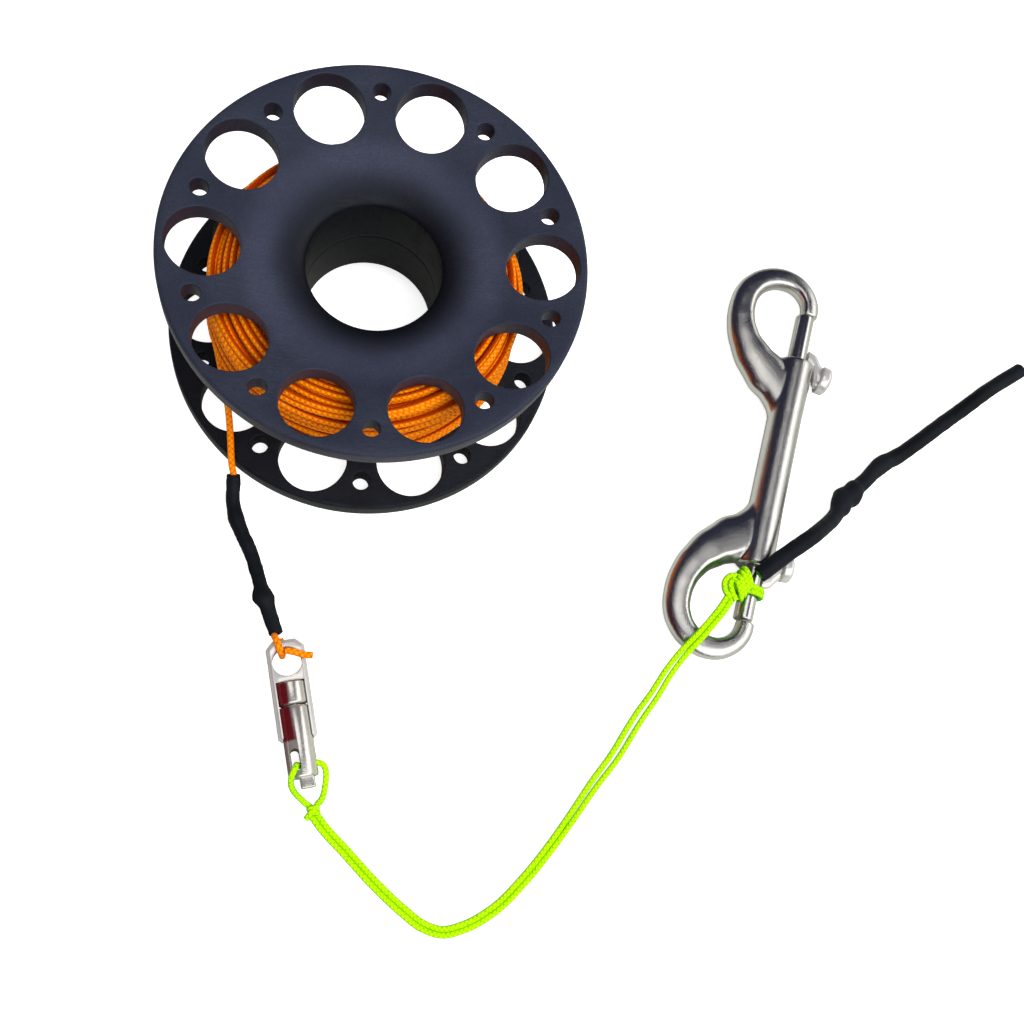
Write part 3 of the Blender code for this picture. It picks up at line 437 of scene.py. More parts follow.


# %% [markdown]
# ### Spool plastic, shrink tube and steel
# The spool is turned and moulded from a navy-black plastic: matte, with a fine grain, pale scuffs
# in a few directions and slow blotches. A painted sheen makes it palest in a ring round the funnel,
# fading darker towards the rim, and painted shade makes it nearly black down the funnel, in the bore
# and on the lower flange. The shrink tube is black and smoother. The snap is a polished steel
# casting whose fine grain breaks up the edges of what it reflects. The connector's plate mirrors
# less, and its collar and barrel carry a painted dark red reflection on one flank.

# %% Plastic and shrink-tube finishes
def plastic_finish():
    """Matte navy-black plastic with a fine grain and scuffs, a painted sheen in a ring round the funnel and
    painted shade in the bore and on the lower flange.
    """
    material, tree, shader = new_finish("spool_plastic", Specular_IOR_Level=0.28,
                                        Specular_Tint=(0.76, 0.86, 1.0, 1.0))
    grain = group_node(tree, grain_group, {"Grain Scale": 2600.0, "Scuff Scale": 150.0})
    tone = ('ADD', ('MULTIPLY', grain["Blotch"], 0.55), ('MULTIPLY', grain["Grain"], 0.45))
    colour = colour_ramp(tree, calc(tree, 'ADD', tone, ('MULTIPLY', grain["Scuff"], 0.14)),
                         (0.28, (0.031, 0.034, 0.057)), (0.52, (0.046, 0.051, 0.085)),
                         (0.90, (0.090, 0.098, 0.150)))
    spot = add_node(tree, 'ShaderNodeSeparateXYZ', {0: object_place(tree)}).outputs
    squares = [('MULTIPLY', spot[axis], spot[axis]) for axis in "XY"]
    across = calc(tree, 'SQRT', ('ADD', *squares))
    # Painted sheen: the colour is fullest in a ring round the funnel and dims towards the rim.
    ring_sheen_falloff = ('MULTIPLY', ramp_up(tree, across, 0.0220, 0.0295, 'LINEAR'), 0.50)
    dimmed = vector_math(tree, 'SCALE', colour)
    wire(tree, dimmed.inputs["Scale"], calc(tree, 'SUBTRACT', 1.0, ring_sheen_falloff))
    # Painted shade: off the upper face, down the funnel, in the bore and on the lower flange, the colour
    # falls to near black.
    unshaded_upper_face = calc(tree, 'MULTIPLY', ramp_up(tree, across, 0.0155, 0.0268),
                      ramp_up(tree, spot["Z"], 0.028, 0.036))
    wire(tree, shader.inputs["Base Color"],
         blend(tree, unshaded_upper_face, (0.0050, 0.0054, 0.0082), dimmed.outputs[0]))
    add_roughness(tree, shader, grain, 0.36, 0.16, 0.10)
    add_bump(tree, shader, calc(tree, 'ADD', grain["Grain"], ('MULTIPLY', grain["Scuff"], -0.4)), 0.00009)
    return material


def shrink_finish():
    """Satin black shrink tube."""
    material, tree, shader = new_finish("shrink_black", Roughness=0.45, Specular_IOR_Level=0.09)
    grain = group_node(tree, grain_group, {"Grain Scale": 1500.0, "Scuff Scale": 220.0})
    wire(tree, shader.inputs["Base Color"], colour_ramp(tree, grain["Blotch"], (0.30, (0.004, 0.005, 0.007)),
                                                        (0.70, (0.010, 0.012, 0.016))))
    add_roughness(tree, shader, grain, 0.38, 0.20)
    add_bump(tree, shader, grain["Grain"], 0.00006)
    return material


# %% Steel finishes
# The dark red band on the barrel and collar is a painted reflection, held on the flank that faces
# band_direction.
barrel_along = (0.2487, -0.9686, 0.0)
band_direction = (-0.9686, -0.2487, 0.0)
painted_reflection_colour = (0.36, 0.030, 0.040)
band_end = 0.0926
band_fade = 0.0004


def steel_finish(name, colour, roughness, grain_scale, relief, metallic=1.0, painted_reflection=False):
    """Steel with a fine grain in its polish. When asked, the side that faces band_direction gets a
    painted dark red reflection, as far along the barrel as the plate's arms reach."""
    material, tree, shader = new_finish(name, Metallic=metallic, Roughness=roughness)
    grain = group_node(tree, grain_group, {"Grain Scale": grain_scale, "Scuff Scale": 260.0})
    polish = colour_ramp(tree, grain["Blotch"], (0.3, tuple(c * 0.82 for c in colour)), (0.7, colour))
    if painted_reflection:
        # Painted reflection: dark red on the flank that faces band_direction, up to the end of the arms.
        normal = add_node(tree, 'ShaderNodeNewGeometry').outputs["Normal"]
        flank = facing(tree, normal, band_direction, 0.16, 0.36)
        ends = facing(tree, object_place(tree), barrel_along, band_end + band_fade, band_end, 'LINEAR')
        polish = blend(tree, calc(tree, 'MULTIPLY', flank, ends), polish, painted_reflection_colour)
    wire(tree, shader.inputs["Base Color"], polish)
    add_roughness(tree, shader, grain, roughness - 0.04, 0.10, 0.06)
    add_bump(tree, shader, grain["Grain"], relief)
    return material


spool_finish = plastic_finish()
sleeve_finish = shrink_finish()
cast_finish = steel_finish("cast_steel", (0.86, 0.85, 0.83), 0.15, 4200.0, 0.000058)
turned_finish = steel_finish("turned_steel", (0.86, 0.85, 0.83), 0.20, 2600.0, 0.00002)
plate_finish = steel_finish("plate_steel", (0.80, 0.78, 0.75), 0.18, 2600.0, 0.000006, 0.50)
barrel_finish = steel_finish("barrel_steel", (0.76, 0.73, 0.69), 0.18, 2600.0, 0.00002, 0.80, painted_reflection=True)
spring_finish = steel_finish("spring_steel", (0.60, 0.60, 0.61), 0.30, 1500.0, 0.00001)
print("finishes:", len(bpy.data.materials))

# %% [markdown]
# ## Mesh helpers
# Small tools that every piece uses: a mesh object from a bmesh, a lathe for turned shapes, a skin
# over rings of points, and a function that turns modifiers into a plain mesh.

# %% Mesh helpers
def paint(thing, material):
    """Gives a mesh one finish."""
    thing.data.materials.clear()
    thing.data.materials.append(material)
    return thing


def link(name, data, material=None):
    """A new object at the origin."""
    thing = bpy.data.objects.new(name, data)
    bpy.context.scene.collection.objects.link(thing)
    return paint(thing, material) if material else thing


def plain_mesh(bm, name):
    """A smooth-shaded mesh from a bmesh, which is freed."""
    mesh = bpy.data.meshes.new(name)
    bm.to_mesh(mesh)
    bm.free()
    mesh.shade_smooth()
    return mesh


def bmesh_object(bm, name, material, matrix=None):
    """Closes a bmesh into an object whose place is in its mesh."""
    bmesh.ops.remove_doubles(bm, verts=bm.verts, dist=0.000001)
    bmesh.ops.recalc_face_normals(bm, faces=bm.faces)
    if matrix is not None:
        bmesh.ops.transform(bm, matrix=matrix, verts=bm.verts)
    return link(name, plain_mesh(bm, name), material)


def baked(thing, material=None):
    """A plain mesh object in place of one with modifiers, which is removed."""
    bpy.context.view_layer.update()
    evaluated = thing.evaluated_get(bpy.context.evaluated_depsgraph_get())
    mesh = bpy.data.meshes.new_from_object(evaluated)
    mesh.shade_smooth()
    label = thing.name
    bpy.data.objects.remove(thing, do_unlink=True)
    return link(label, mesh, material)


def arc(across, along, radius, start, end, steps):
    """Profile points on an arc between two angles, which are given in quarter turns."""
    angles = [math.pi / 2 * (start + (end - start) * k / steps) for k in range(steps + 1)]
    return [(across + radius * math.cos(a), along + radius * math.sin(a)) for a in angles]


def circle_steps(sides):
    """The angles of equal steps round a circle."""
    return [math.tau * k / sides for k in range(sides)]


def skin_rings(bm, rings, caps=True):
    """Faces between closed rings of vertices, and over both ends."""
    for first, second in zip(rings, rings[1:]):
        for k in range(len(first)):
            m = (k + 1) % len(first)
            bm.faces.new((first[k], first[m], second[m], second[k]))
    if caps:
        bm.faces.new(rings[0])
        bm.faces.new(rings[-1])


def lathe(bm, profile, sides):
    """Turns a profile of (radius, place) points about local X; ends on the axis close it."""
    verts = [bm.verts.new((x, r, 0.0)) for r, x in profile]
    edges = [bm.edges.new(pair) for pair in zip(verts, verts[1:])]
    bmesh.ops.spin(bm, geom=verts + edges, cent=(0, 0, 0), axis=(1, 0, 0), angle=math.tau, steps=sides,
                   use_merge=True)
    bmesh.ops.remove_doubles(bm, verts=bm.verts, dist=0.0000005)


def rounded_rod(radius, start, end, edge):
    """Profile of a rod with rounded ends, both closed on the axis."""
    return [(0.0, start), *arc(radius - edge, start + edge, edge, -1, 0, 4),
            *arc(radius - edge, end - edge, edge, 0, 1, 4), (0.0, end)]


def sharpen(thing, degrees):
    """Marks the sharp edges of a smooth-shaded mesh."""
    thing.data.set_sharp_from_angle(angle=math.radians(degrees))
    return thing


def run_tree(thing, tree, inputs, material):
    """Puts an object through a Geometry Nodes tree and keeps the result as a plain mesh."""
    modifier = thing.modifiers.new("tree", 'NODES')
    modifier.node_group = tree
    for item in tree.interface.items_tree:
        if item.item_type == 'SOCKET' and item.in_out == 'INPUT' and item.name in inputs:
            modifier[item.identifier] = inputs[item.name]
    return baked(thing, material)


def finish_piece(thing, body, slot, *replaced):
    """Rides a piece on its body and hides the solids that it stands for."""
    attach(thing, body)
    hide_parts(*replaced)
    return thing


# %% [markdown]
# ## The flanges
# Ten times round the spool the same thing comes back: one large hole, one small hole. So only a
# tenth of a half is modelled, as a sector, and Geometry Nodes turns ten copies of it round the
# axis. In the sector, the pierced plate is a triangulation between fixed outlines, whose points
# are then lifted to the dished face. Rings of points close to each hole give it a rounded edge.

# %% Flange sector
def polar(radius, angle):
    """A flat point from a radius and an angle."""
    return Vector((radius * math.cos(angle), radius * math.sin(angle)))


sector_steps = 24
sector_turn = math.tau / hole_count
sector_angles = [math.radians(-22) + sector_turn * k / sector_steps for k in range(sector_steps + 1)]
plate_inner = 0.0255
plate_steps = 14
hole_round = 0.00030
round_shares = [0.0, 0.11, 0.34, 0.63, 1.0, 1.7]
clear_share = 3.2
arc_steps = 7
flare_steps = 18
seam = 0.00006
holes = [(polar(large_hole_pitch, 0.0), large_hole_radius, 72),
         (polar(small_hole_pitch, -sector_turn / 2), small_hole_radius, 32)]


def edge_drop(point):
    """How far the rounded edge of a nearby hole takes the surface in."""
    for centre, radius, _ in holes:
        away = (point - centre).length - radius
        if away < hole_round:
            inside = hole_round - max(0.0, away)
            return hole_round - math.sqrt(max(0.0, hole_round ** 2 - inside ** 2))
    return 0.0


def plate_points():
    """Flat points of the sector's plate and the edges that the triangulation has to keep."""
    radii = [plate_inner + (land_outer - plate_inner) * k / plate_steps for k in range(plate_steps + 1)]
    radii[-2] = land_inner
    first, last = sector_angles[0], sector_angles[-1]
    points = [polar(radii[0], a) for a in sector_angles] + [polar(r, last) for r in radii[1:-1]]
    points += [polar(radii[-1], a) for a in reversed(sector_angles)]
    points += [polar(r, first) for r in reversed(radii[1:-1])]
    edges = [(i, (i + 1) % len(points)) for i in range(len(points))]
    for centre, radius, sides in holes:
        for share in round_shares:
            start = len(points)
            points += [centre + polar(radius + share * hole_round, a) for a in circle_steps(sides)]
            if share == 0.0:
                edges += [(start + k, start + (k + 1) % sides) for k in range(sides)]
    grid = [polar(r, a) for r in radii[1:-1] for a in sector_angles[1:-1]]
    clear = clear_share * hole_round
    points += [p for p in grid if all((p - c).length > radius + clear for c, radius, _ in holes)]
    return points, edges


def sector_profiles():
    """The turned stretches beside the plate: rim, and everything inside the plate."""
    rim = arc(land_outer, spool_height - rim_round, rim_round, 1, 0, arc_steps)
    rim += arc(land_outer, flange_back(land_outer) + rim_round, rim_round, 0, -1, arc_steps)[1:]
    inner = [(r, flange_face(r)) for r in (plate_inner, (plate_inner + trumpet_radius) / 2)]
    top = Vector((trumpet_radius, flange_face(trumpet_radius)))
    corner = Vector((bore_radius, flange_face(bore_radius)))
    foot = Vector((bore_radius, spool_height - trumpet_depth))
    for k in range(flare_steps + 1):
        t = k / flare_steps
        inner.append(tuple(top * (1 - t) ** 2 + corner * 2 * t * (1 - t) + foot * t * t))
    middle = half_height + seam
    inner += [(bore_radius, middle + 0.006), (bore_radius, middle + 0.0006), (bore_radius, middle + 2 * seam),
              (bore_radius + seam, middle + seam / 2), (bore_radius + 2 * seam, middle), (hub_radius, middle)]
    centre = hub_radius + hub_fillet
    inner += arc(centre, flange_back(centre) - hub_fillet, hub_fillet, 2, 1, arc_steps)
    inner.append((plate_inner, flange_back(plate_inner)))
    return rim, inner


def build_sector(name, upper):
    """A tenth of one half of the spool; the lower half is the same, turned over."""
    flat, _, triangles, _, _, _ = geometry.delaunay_2d_cdt(*plate_points(), [], 1, 1e-9)
    kept = []
    for triangle in triangles:
        middle = sum((flat[i] for i in triangle), Vector((0.0, 0.0))) / 3
        if all((middle - centre).length > radius for centre, radius, _ in holes):
            kept.append(triangle)
    bm = bmesh.new()
    for surface, way in ((flange_face, -1), (flange_back, 1)):
        verts = [bm.verts.new((p.x, p.y, surface(p.length) + way * edge_drop(p))) for p in flat]
        for triangle in kept:
            bm.faces.new([verts[i] for i in triangle[::-way]])
    for centre, radius, sides in holes:
        walls = []
        for surface, drop in ((flange_back, hole_round), (flange_face, -hole_round)):
            ring = [centre + polar(radius, a) for a in circle_steps(sides)]
            walls.append([bm.verts.new((p.x, p.y, surface(p.length) + drop)) for p in ring])
        skin_rings(bm, walls, caps=False)
    for profile in sector_profiles():
        columns = [[bm.verts.new((*polar(r, a), z)) for r, z in profile] for a in sector_angles]
        for first, second in zip(columns, columns[1:]):
            for k in range(len(profile) - 1):
                bm.faces.new((first[k], first[k + 1], second[k + 1], second[k]))
    bmesh.ops.remove_doubles(bm, verts=bm.verts, dist=0.000002)
    if not upper:
        for vertex in bm.verts:
            vertex.co.z = spool_height - vertex.co.z
        bmesh.ops.reverse_faces(bm, faces=bm.faces)
    return link(name, plain_mesh(bm, name))


# %% Tree that turns copies round the axis
def new_geometry_tree(name, **inputs):
    """A Geometry Nodes tree with a geometry input, further inputs and a geometry output."""
    tree = bpy.data.node_groups.new(name, 'GeometryNodeTree')
    for label, kind in {"Geometry": 'Geometry', **inputs}.items():
        tree.interface.new_socket(label, in_out='INPUT', socket_type='NodeSocket' + kind)
    tree.interface.new_socket("Geometry", in_out='OUTPUT', socket_type='NodeSocketGeometry')
    return tree, tree.nodes.new('NodeGroupInput').outputs, tree.nodes.new('NodeGroupOutput').inputs


def end_tree(tree, given, result, skin):
    """The last step of a tree: its skin becomes real and gets the finish."""
    painted = add_node(tree, 'GeometryNodeSetMaterial', {"Geometry": skin, "Material": given["Finish"]})
    wire(tree, result["Geometry"], painted.outputs[0])
    return tree


def build_ring_tree():
    """Copies of a sector round Z, joined into one skin."""
    tree, given, result = new_geometry_tree("sectors_round_axis", Copies='Int', Start='Float',
                                            Finish='Material')
    points = add_node(tree, 'GeometryNodePoints', {"Count": given["Copies"]}).outputs[0]
    index = add_node(tree, 'GeometryNodeInputIndex').outputs[0]
    angle = calc(tree, 'ADD', ('MULTIPLY', index, ('DIVIDE', math.tau, given["Copies"])), given["Start"])
    spin = add_node(tree, 'FunctionNodeAxisAngleToRotation', {"Axis": (0.0, 0.0, 1.0), "Angle": angle})
    copies = add_node(tree, 'GeometryNodeInstanceOnPoints', {"Points": points, "Instance": given["Geometry"],
                                                             "Rotation": spin.outputs[0]})
    real = add_node(tree, 'GeometryNodeRealizeInstances', {"Geometry": copies.outputs[0]})
    merged = add_node(tree, 'GeometryNodeMergeByDistance',
                      {"Geometry": real.outputs[0], "Distance": 0.000002})
    return end_tree(tree, given, result, merged.outputs[0])


ring_tree = build_ring_tree()


# %% Both halves of the spool
def build_half(name, node, upper):
    """One half of the spool: ten sectors."""
    start = math.radians(90) + hole_turn + sector_turn / 2
    inputs = {"Copies": hole_count, "Start": start, "Finish": spool_finish}
    shell = sharpen(run_tree(build_sector(name, upper), ring_tree, inputs, spool_finish), 50)
    finish_piece(shell, fixed_body, "spool_plastic", node)
    print(name, len(shell.data.polygons), "faces")


build_half("spool_upper_shell", "spool_upper_half", True)
build_half("spool_lower_shell", "spool_lower_half", False)

# %% [markdown]
# ## A tube along a path
# Line, leash, loops and springs all are tubes along a path, so one Geometry Nodes tree makes them.
# It sweeps a circle along the curve and stores where each point lies on the cord, round it and
# along it, for the braid. The path is a curve object whose points come from the routes.

# %% Cord tree
def build_cord_tree():
    """Sweeps a circle along a curve and stores each point's place on the cord."""
    tree, given, result = new_geometry_tree("cord_tube", Radius='Float', Sides='Int', Finish='Material')

    def capture(curve, label, value):
        node = tree.nodes.new('GeometryNodeCaptureAttribute')
        node.capture_items.new('FLOAT', label)
        wire(tree, node.inputs["Geometry"], curve)
        wire(tree, node.inputs[label], value)
        return node.outputs["Geometry"], node.outputs[label]

    spot = add_node(tree, 'GeometryNodeSplineParameter').outputs
    path, along = capture(given["Geometry"], "Along", spot["Length"])
    circle = add_node(tree, 'GeometryNodeCurvePrimitiveCircle',
                      {"Resolution": given["Sides"], "Radius": given["Radius"]}).outputs[0]
    section, around = capture(circle, "Around", spot["Factor"])
    sweep = add_node(tree, 'GeometryNodeCurveToMesh',
                     {"Curve": path, "Profile Curve": section, "Fill Caps": True})
    angle = calc(tree, 'MULTIPLY', around, math.tau)
    place = add_node(tree, 'ShaderNodeCombineXYZ', {"X": calc(tree, 'COSINE', angle),
                                                    "Y": calc(tree, 'SINE', angle), "Z": along}).outputs[0]
    store = add_node(tree, 'GeometryNodeStoreNamedAttribute',
                     {"Geometry": sweep.outputs[0], "Name": "braid_place", "Value": place},
                     data_type='FLOAT_VECTOR', domain='POINT')
    real = add_node(tree, 'GeometryNodeRealizeInstances', {"Geometry": store.outputs[0]})
    return end_tree(tree, given, result, real.outputs[0])


cord_tree = build_cord_tree()


def tube(name, paths, radius, sides, material):
    """One mesh of tubes along one or more paths."""
    curve = bpy.data.curves.new(name, 'CURVE')
    curve.dimensions = '3D'
    for path in paths:
        spline = curve.splines.new('POLY')
        spline.points.add(len(path) - 1)
        for point, place in zip(spline.points, path):
            point.co = (*place, 1.0)
    inputs = {"Radius": radius, "Sides": sides, "Finish": material}
    return sharpen(run_tree(link(name, curve), cord_tree, inputs, material), 60)


# %% [markdown]
# ## The winding
# About thirty metres of line lie on the hub. The inner layers are laid side by side, and each
# layer goes back over the one below. The last turns were wound in a hurry: they wander from
# flange to flange and cross the layer below at an angle. The path is worked out turn by turn, and
# the last turn ends where the free line leaves, on the left.

# %% Winding path
layer_step = 0.00131
turn_pitch = 0.00154
tight_layers = 11
stray_count = 11
line_gap = 0.0003
mound_radius = 0.0338
mound_crown = 0.0050
mound_flat = 0.0030
mound_lean = 0.0014
mound_lean_angle = math.radians(222)
mound_shoulder = mound_radius - mound_crown
points_per_turn = 72
leave_share = 0.035
lead_start = Vector(lead_route[0])
lead_angle = math.atan2(lead_start.y, lead_start.x) + math.tau


def lean_out(angle, share):
    """The heap is thicker at the front left than at the back right."""
    return mound_lean * share * math.cos(angle - mound_lean_angle)


def groove_room(radius):
    """Lowest and highest place of a turn's centre between the flanges."""
    margin = (line_radius + line_gap) / math.cos(math.atan(dish_slope))
    high = flange_back(radius) - margin
    low = spool_height - high
    if radius + line_radius > mound_shoulder:
        share = min(1.0, (radius + line_radius - mound_shoulder) / mound_crown)
        rise = flange_back(mound_shoulder) - margin - half_height - mound_flat
        high = min(high, half_height + mound_flat + rise * math.sqrt(1 - share * share))
    return low, high


def mound_out(place):
    """Radius of a turn's centre on top of the heap, at a height: full below and falling above."""
    if place < half_height:
        return mound_radius - line_radius
    rise = flange_back(mound_shoulder) - half_height - mound_flat - line_gap
    away = min(1.0, max(0.0, (place - half_height - mound_flat) / rise))
    return mound_shoulder + mound_crown * math.sqrt(1 - away * away) - line_radius


def wander(angle, seed, size):
    """A slow drift along the spool, the same for neighbouring turns."""
    return noise.noise(Vector((math.cos(angle) * 1.3, math.sin(angle) * 1.3, seed))) * size


def clamp(value, low, high):
    """A value held between two others."""
    return min(max(value, low), high)


def winding_turns():
    """The laid turns as a list of (layer, point), and where the last of them ends."""
    radius = hub_radius + line_gap + line_radius
    layers = [(radius + layer_step * k, turn_pitch * (1.0 + 0.006 * k), 0.0007) for k in range(tight_layers)]
    layers.append((layers[-1][0] + 0.00090, 0.00200, 0.0012))
    turns = []
    angle = 0.0
    for number, (target, pitch, drift) in enumerate(layers):
        low, high = groove_room(target)
        steps = int(max(2.0, (high - low) / pitch) * points_per_turn)
        for k in range(steps):
            share = k / steps
            now = radius + (target - radius) * ease(min(1.0, k / (points_per_turn / 5)))
            rise = share if number % 2 == 0 else 1.0 - share
            free = min(1.0, 12 * share * (1 - share))
            place = low + (high - low) * rise + wander(angle, number * 3.1, drift) * free
            place = clamp(place, *groove_room(now))
            out = now + lean_out(angle, (now - hub_radius) / (mound_radius - hub_radius))
            out += 0.00025 * noise.noise(Vector((k * 0.03, number * 7.7, 1.0)))
            turns.append((number, Vector((out * math.cos(angle), out * math.sin(angle), place))))
            angle += math.tau / points_per_turn
        radius = target
    return turns, angle, place


def stray_turns(angle, place):
    """The last turns, which wander between the flanges and end at the lead."""
    end_angle = lead_angle + math.tau * math.ceil((angle - lead_angle) / math.tau + stray_count)
    steps = int((end_angle - angle) / math.tau * points_per_turn)
    low, high = groove_room(mound_shoulder - line_radius)
    strays = []
    for k in range(steps + 1):
        share = k / steps
        now = angle + (end_angle - angle) * share
        wave = math.sin(now * 0.19 + 0.8) * 0.86 + math.sin(now * 1.0 + 2.1) * 0.14
        settle = min(1.0, k / (points_per_turn / 2))
        height = place * (1 - settle) + (half_height + (high - low) / 2 * wave) * settle
        out = mound_out(height) + line_gap + 0.0006 * share + lean_out(now, 1.0)
        out += 0.0007 * noise.noise(Vector((now * 0.9, 5.0, 2.0)))
        leave = ease(max(0.0, (share - 1.0 + leave_share) / leave_share))
        out = out * (1 - leave) + lead_start.xy.length * leave
        height = clamp(height * (1 - leave) + lead_start.z * leave, low, high)
        strays.append(Vector((out * math.cos(now), out * math.sin(now), height)))
    return strays


# %% Winding meshes
def build_winding():
    """Hidden inner layers as a coarse tube, and the layers that show as a fine one."""
    turns, angle, place = winding_turns()
    strays = stray_turns(angle, place)
    shown_from = 7
    inner = [p for number, p in turns if number < shown_from][::3]
    outer = [p for number, p in turns if number >= shown_from] + strays
    for name, path, sides in (("winding_inner_turns", inner, 5), ("winding_outer_turns", outer, 9)):
        piece = tube(name, [path], line_radius, sides, winding_finish)
        finish_piece(piece, fixed_body, "line_orange", "line_winding")
        print(name, len(piece.data.polygons), "faces")
    length = path_length([p for _, p in turns] + strays)
    count = round((len(turns) + len(strays)) / points_per_turn)
    print("winding:", round(length, 2), "m of line in", count, "turns")


build_winding()

# %% [markdown]
# ## The lead and its shrink sleeve
# The free line leaves the winding on the left, hangs between the flanges, passes over the lower
# rim and runs into a shrink sleeve. The sleeve covers the line's folded end, so it has a lump in
# its middle and a larger one where the knot lies inside.

# %% Sleeve helper
def sleeve(name, path, radius, bumps, sides, wrinkle, seed, bore, open_depth, edge):
    """A shrink sleeve: a tube with lumps and wrinkles whose first end is open. Bumps are (place
    share, height share, width share, side angle, twist), and a larger edge softens their ends."""
    rings = []
    for i, point in enumerate(path):
        share = i / (len(path) - 1)
        run = run_at(path, i).normalized()
        side = run.cross(Vector((0.0, 0.0, 1.0))).normalized()
        top = side.cross(run).normalized()
        ring = []
        for a in circle_steps(sides):
            out = radius
            for spot, height, width, toward, twist in bumps:
                near = (share - spot) / width
                if abs(near) < 1:
                    lobe = 0.5 + 0.5 * math.cos(a - toward - twist * near)
                    out += radius * height * (0.25 + 0.75 * lobe) * (1 - near * near) ** edge
            out += wrinkle * noise.noise(Vector((point.x * 420, point.y * 420, seed + math.sin(a))))
            out += wrinkle * 0.6 * noise.noise(Vector((share * 60, math.cos(a) * 2, seed + math.sin(a) * 2)))
            ring.append(point + (side * math.cos(a) + top * math.sin(a)) * out)
        rings.append(ring)
    first_run = (path[1] - path[0]).normalized()
    last_run = (path[-1] - path[-2]).normalized()
    mouth = [[path[0] + first_run * depth + (p - path[0]) * max(share, bore / radius) for p in rings[0]]
             for depth, share in ((open_depth, 0.78), (0.0002, 0.80), (0.0, 0.90))]
    close = [[path[-1] + last_run * reach * radius + (p - path[-1]) * scale for p in rings[-1]]
             for reach, scale in ((0.12, 0.93), (0.22, 0.78), (0.28, 0.5))]
    bm = bmesh.new()
    skin_rings(bm, [[bm.verts.new(p) for p in ring] for ring in mouth + rings + close])
    return bmesh_object(bm, name, sleeve_finish)


# %% Lead line and sleeve
def line_piece(name, path, node):
    """A piece of bare line on the fixed body."""
    return finish_piece(tube(name, [path], line_radius, 14, line_finish), fixed_body, "line_orange", node)


lead_path = smooth_path(lead_route, 0.0008)
lead_line = line_piece("lead_line", lead_path, "line_lead")
lead_bumps = [(0.27, 0.22, 0.10, 0.5, 0.0), (0.30, 0.10, 0.30, 2.0, 0.0), (0.50, 0.10, 0.12, 3.0, 1.0),
              (0.765, 0.62, 0.075, 0.0, 1.5), (0.80, 0.36, 0.09, 2.6, -1.0), (0.93, 0.12, 0.10, 1.0, 0.0)]
lead_sleeve_path = smooth_path(lead_route[lead_sleeve_first:], 0.0004)
lead_sleeve = sleeve("lead_sleeve_skin", lead_sleeve_path, 0.00150, lead_bumps, 28, 0.00016, 3.0,
                     line_radius * 1.05, 0.002, 2.0)
finish_piece(lead_sleeve, fixed_body, "shrink_black", "lead_sleeve")

# %% [markdown]
# ## The loop on the connector's eye
# The line passes through the eye and back over its own edge, and a short cut end sticks out.

# %% Eye loop and tag end
line_piece("eye_loop_line", put(connector_frame, smooth_path(eye_loop_route, 0.0003)), "line_eye_loop")
line_piece("tag_end_line", put(connector_frame, smooth_path(tag_end_route, 0.0003)), "line_tag_end")

# %% [markdown]
# ## The in-line connector
# A flat plate has an eye at one end and two arms at the other. A collar is fixed between the
# arms, and a barrel turns in line with it on a hidden spindle. The plate is cut by an outline and
# softened with a bevel; the round parts are turned on the lathe helper.

# %% Cutting helpers
def box_piece(name, low, high, matrix):
    """A plain box between two corners, as a cutter."""
    bm = bmesh.new()
    bmesh.ops.create_cube(bm, size=1.0)
    bmesh.ops.scale(bm, vec=[b - a for a, b in zip(low, high)], verts=bm.verts)
    bmesh.ops.translate(bm, vec=[(a + b) / 2 for a, b in zip(low, high)], verts=bm.verts)
    return bmesh_object(bm, name, None, matrix)


def rod_piece(name, profile, sides, matrix, material=None):
    """A turned piece along local X."""
    bm = bmesh.new()
    lathe(bm, profile, sides)
    return bmesh_object(bm, name, material, matrix)


def apply_boolean(thing, cutters, operation='DIFFERENCE', solver='EXACT'):
    """Cuts or joins a mesh and removes the cutters."""
    for cutter in cutters:
        modifier = thing.modifiers.new(cutter.name, 'BOOLEAN')
        modifier.operation = operation
        modifier.solver = solver
        modifier.object = cutter
    made = baked(thing)
    for cutter in cutters:
        bpy.data.objects.remove(cutter, do_unlink=True)
    return made


def bevelled(thing, width, segments, degrees=30):
    """Rounds the sharp edges of a mesh."""
    modifier = thing.modifiers.new("edge", 'BEVEL')
    modifier.width = width
    modifier.segments = segments
    modifier.limit_method = 'ANGLE'
    modifier.angle_limit = math.radians(degrees)
    modifier.use_clamp_overlap = True
    return baked(thing)


# %% Connector
plate_start = -0.0048
plate_half_width = 0.00415
plate_half_thickness = 0.0016
plate_corner = 0.0017
arm_end = 0.0171
arm_corner = 0.0009
eye_radius = 0.00315
barrel_radius = 0.0032
seam_place = 0.0094
collar_start = 0.0046
collar_bore = 0.0012
barrel_end = 0.0249
cross_place = 0.0223


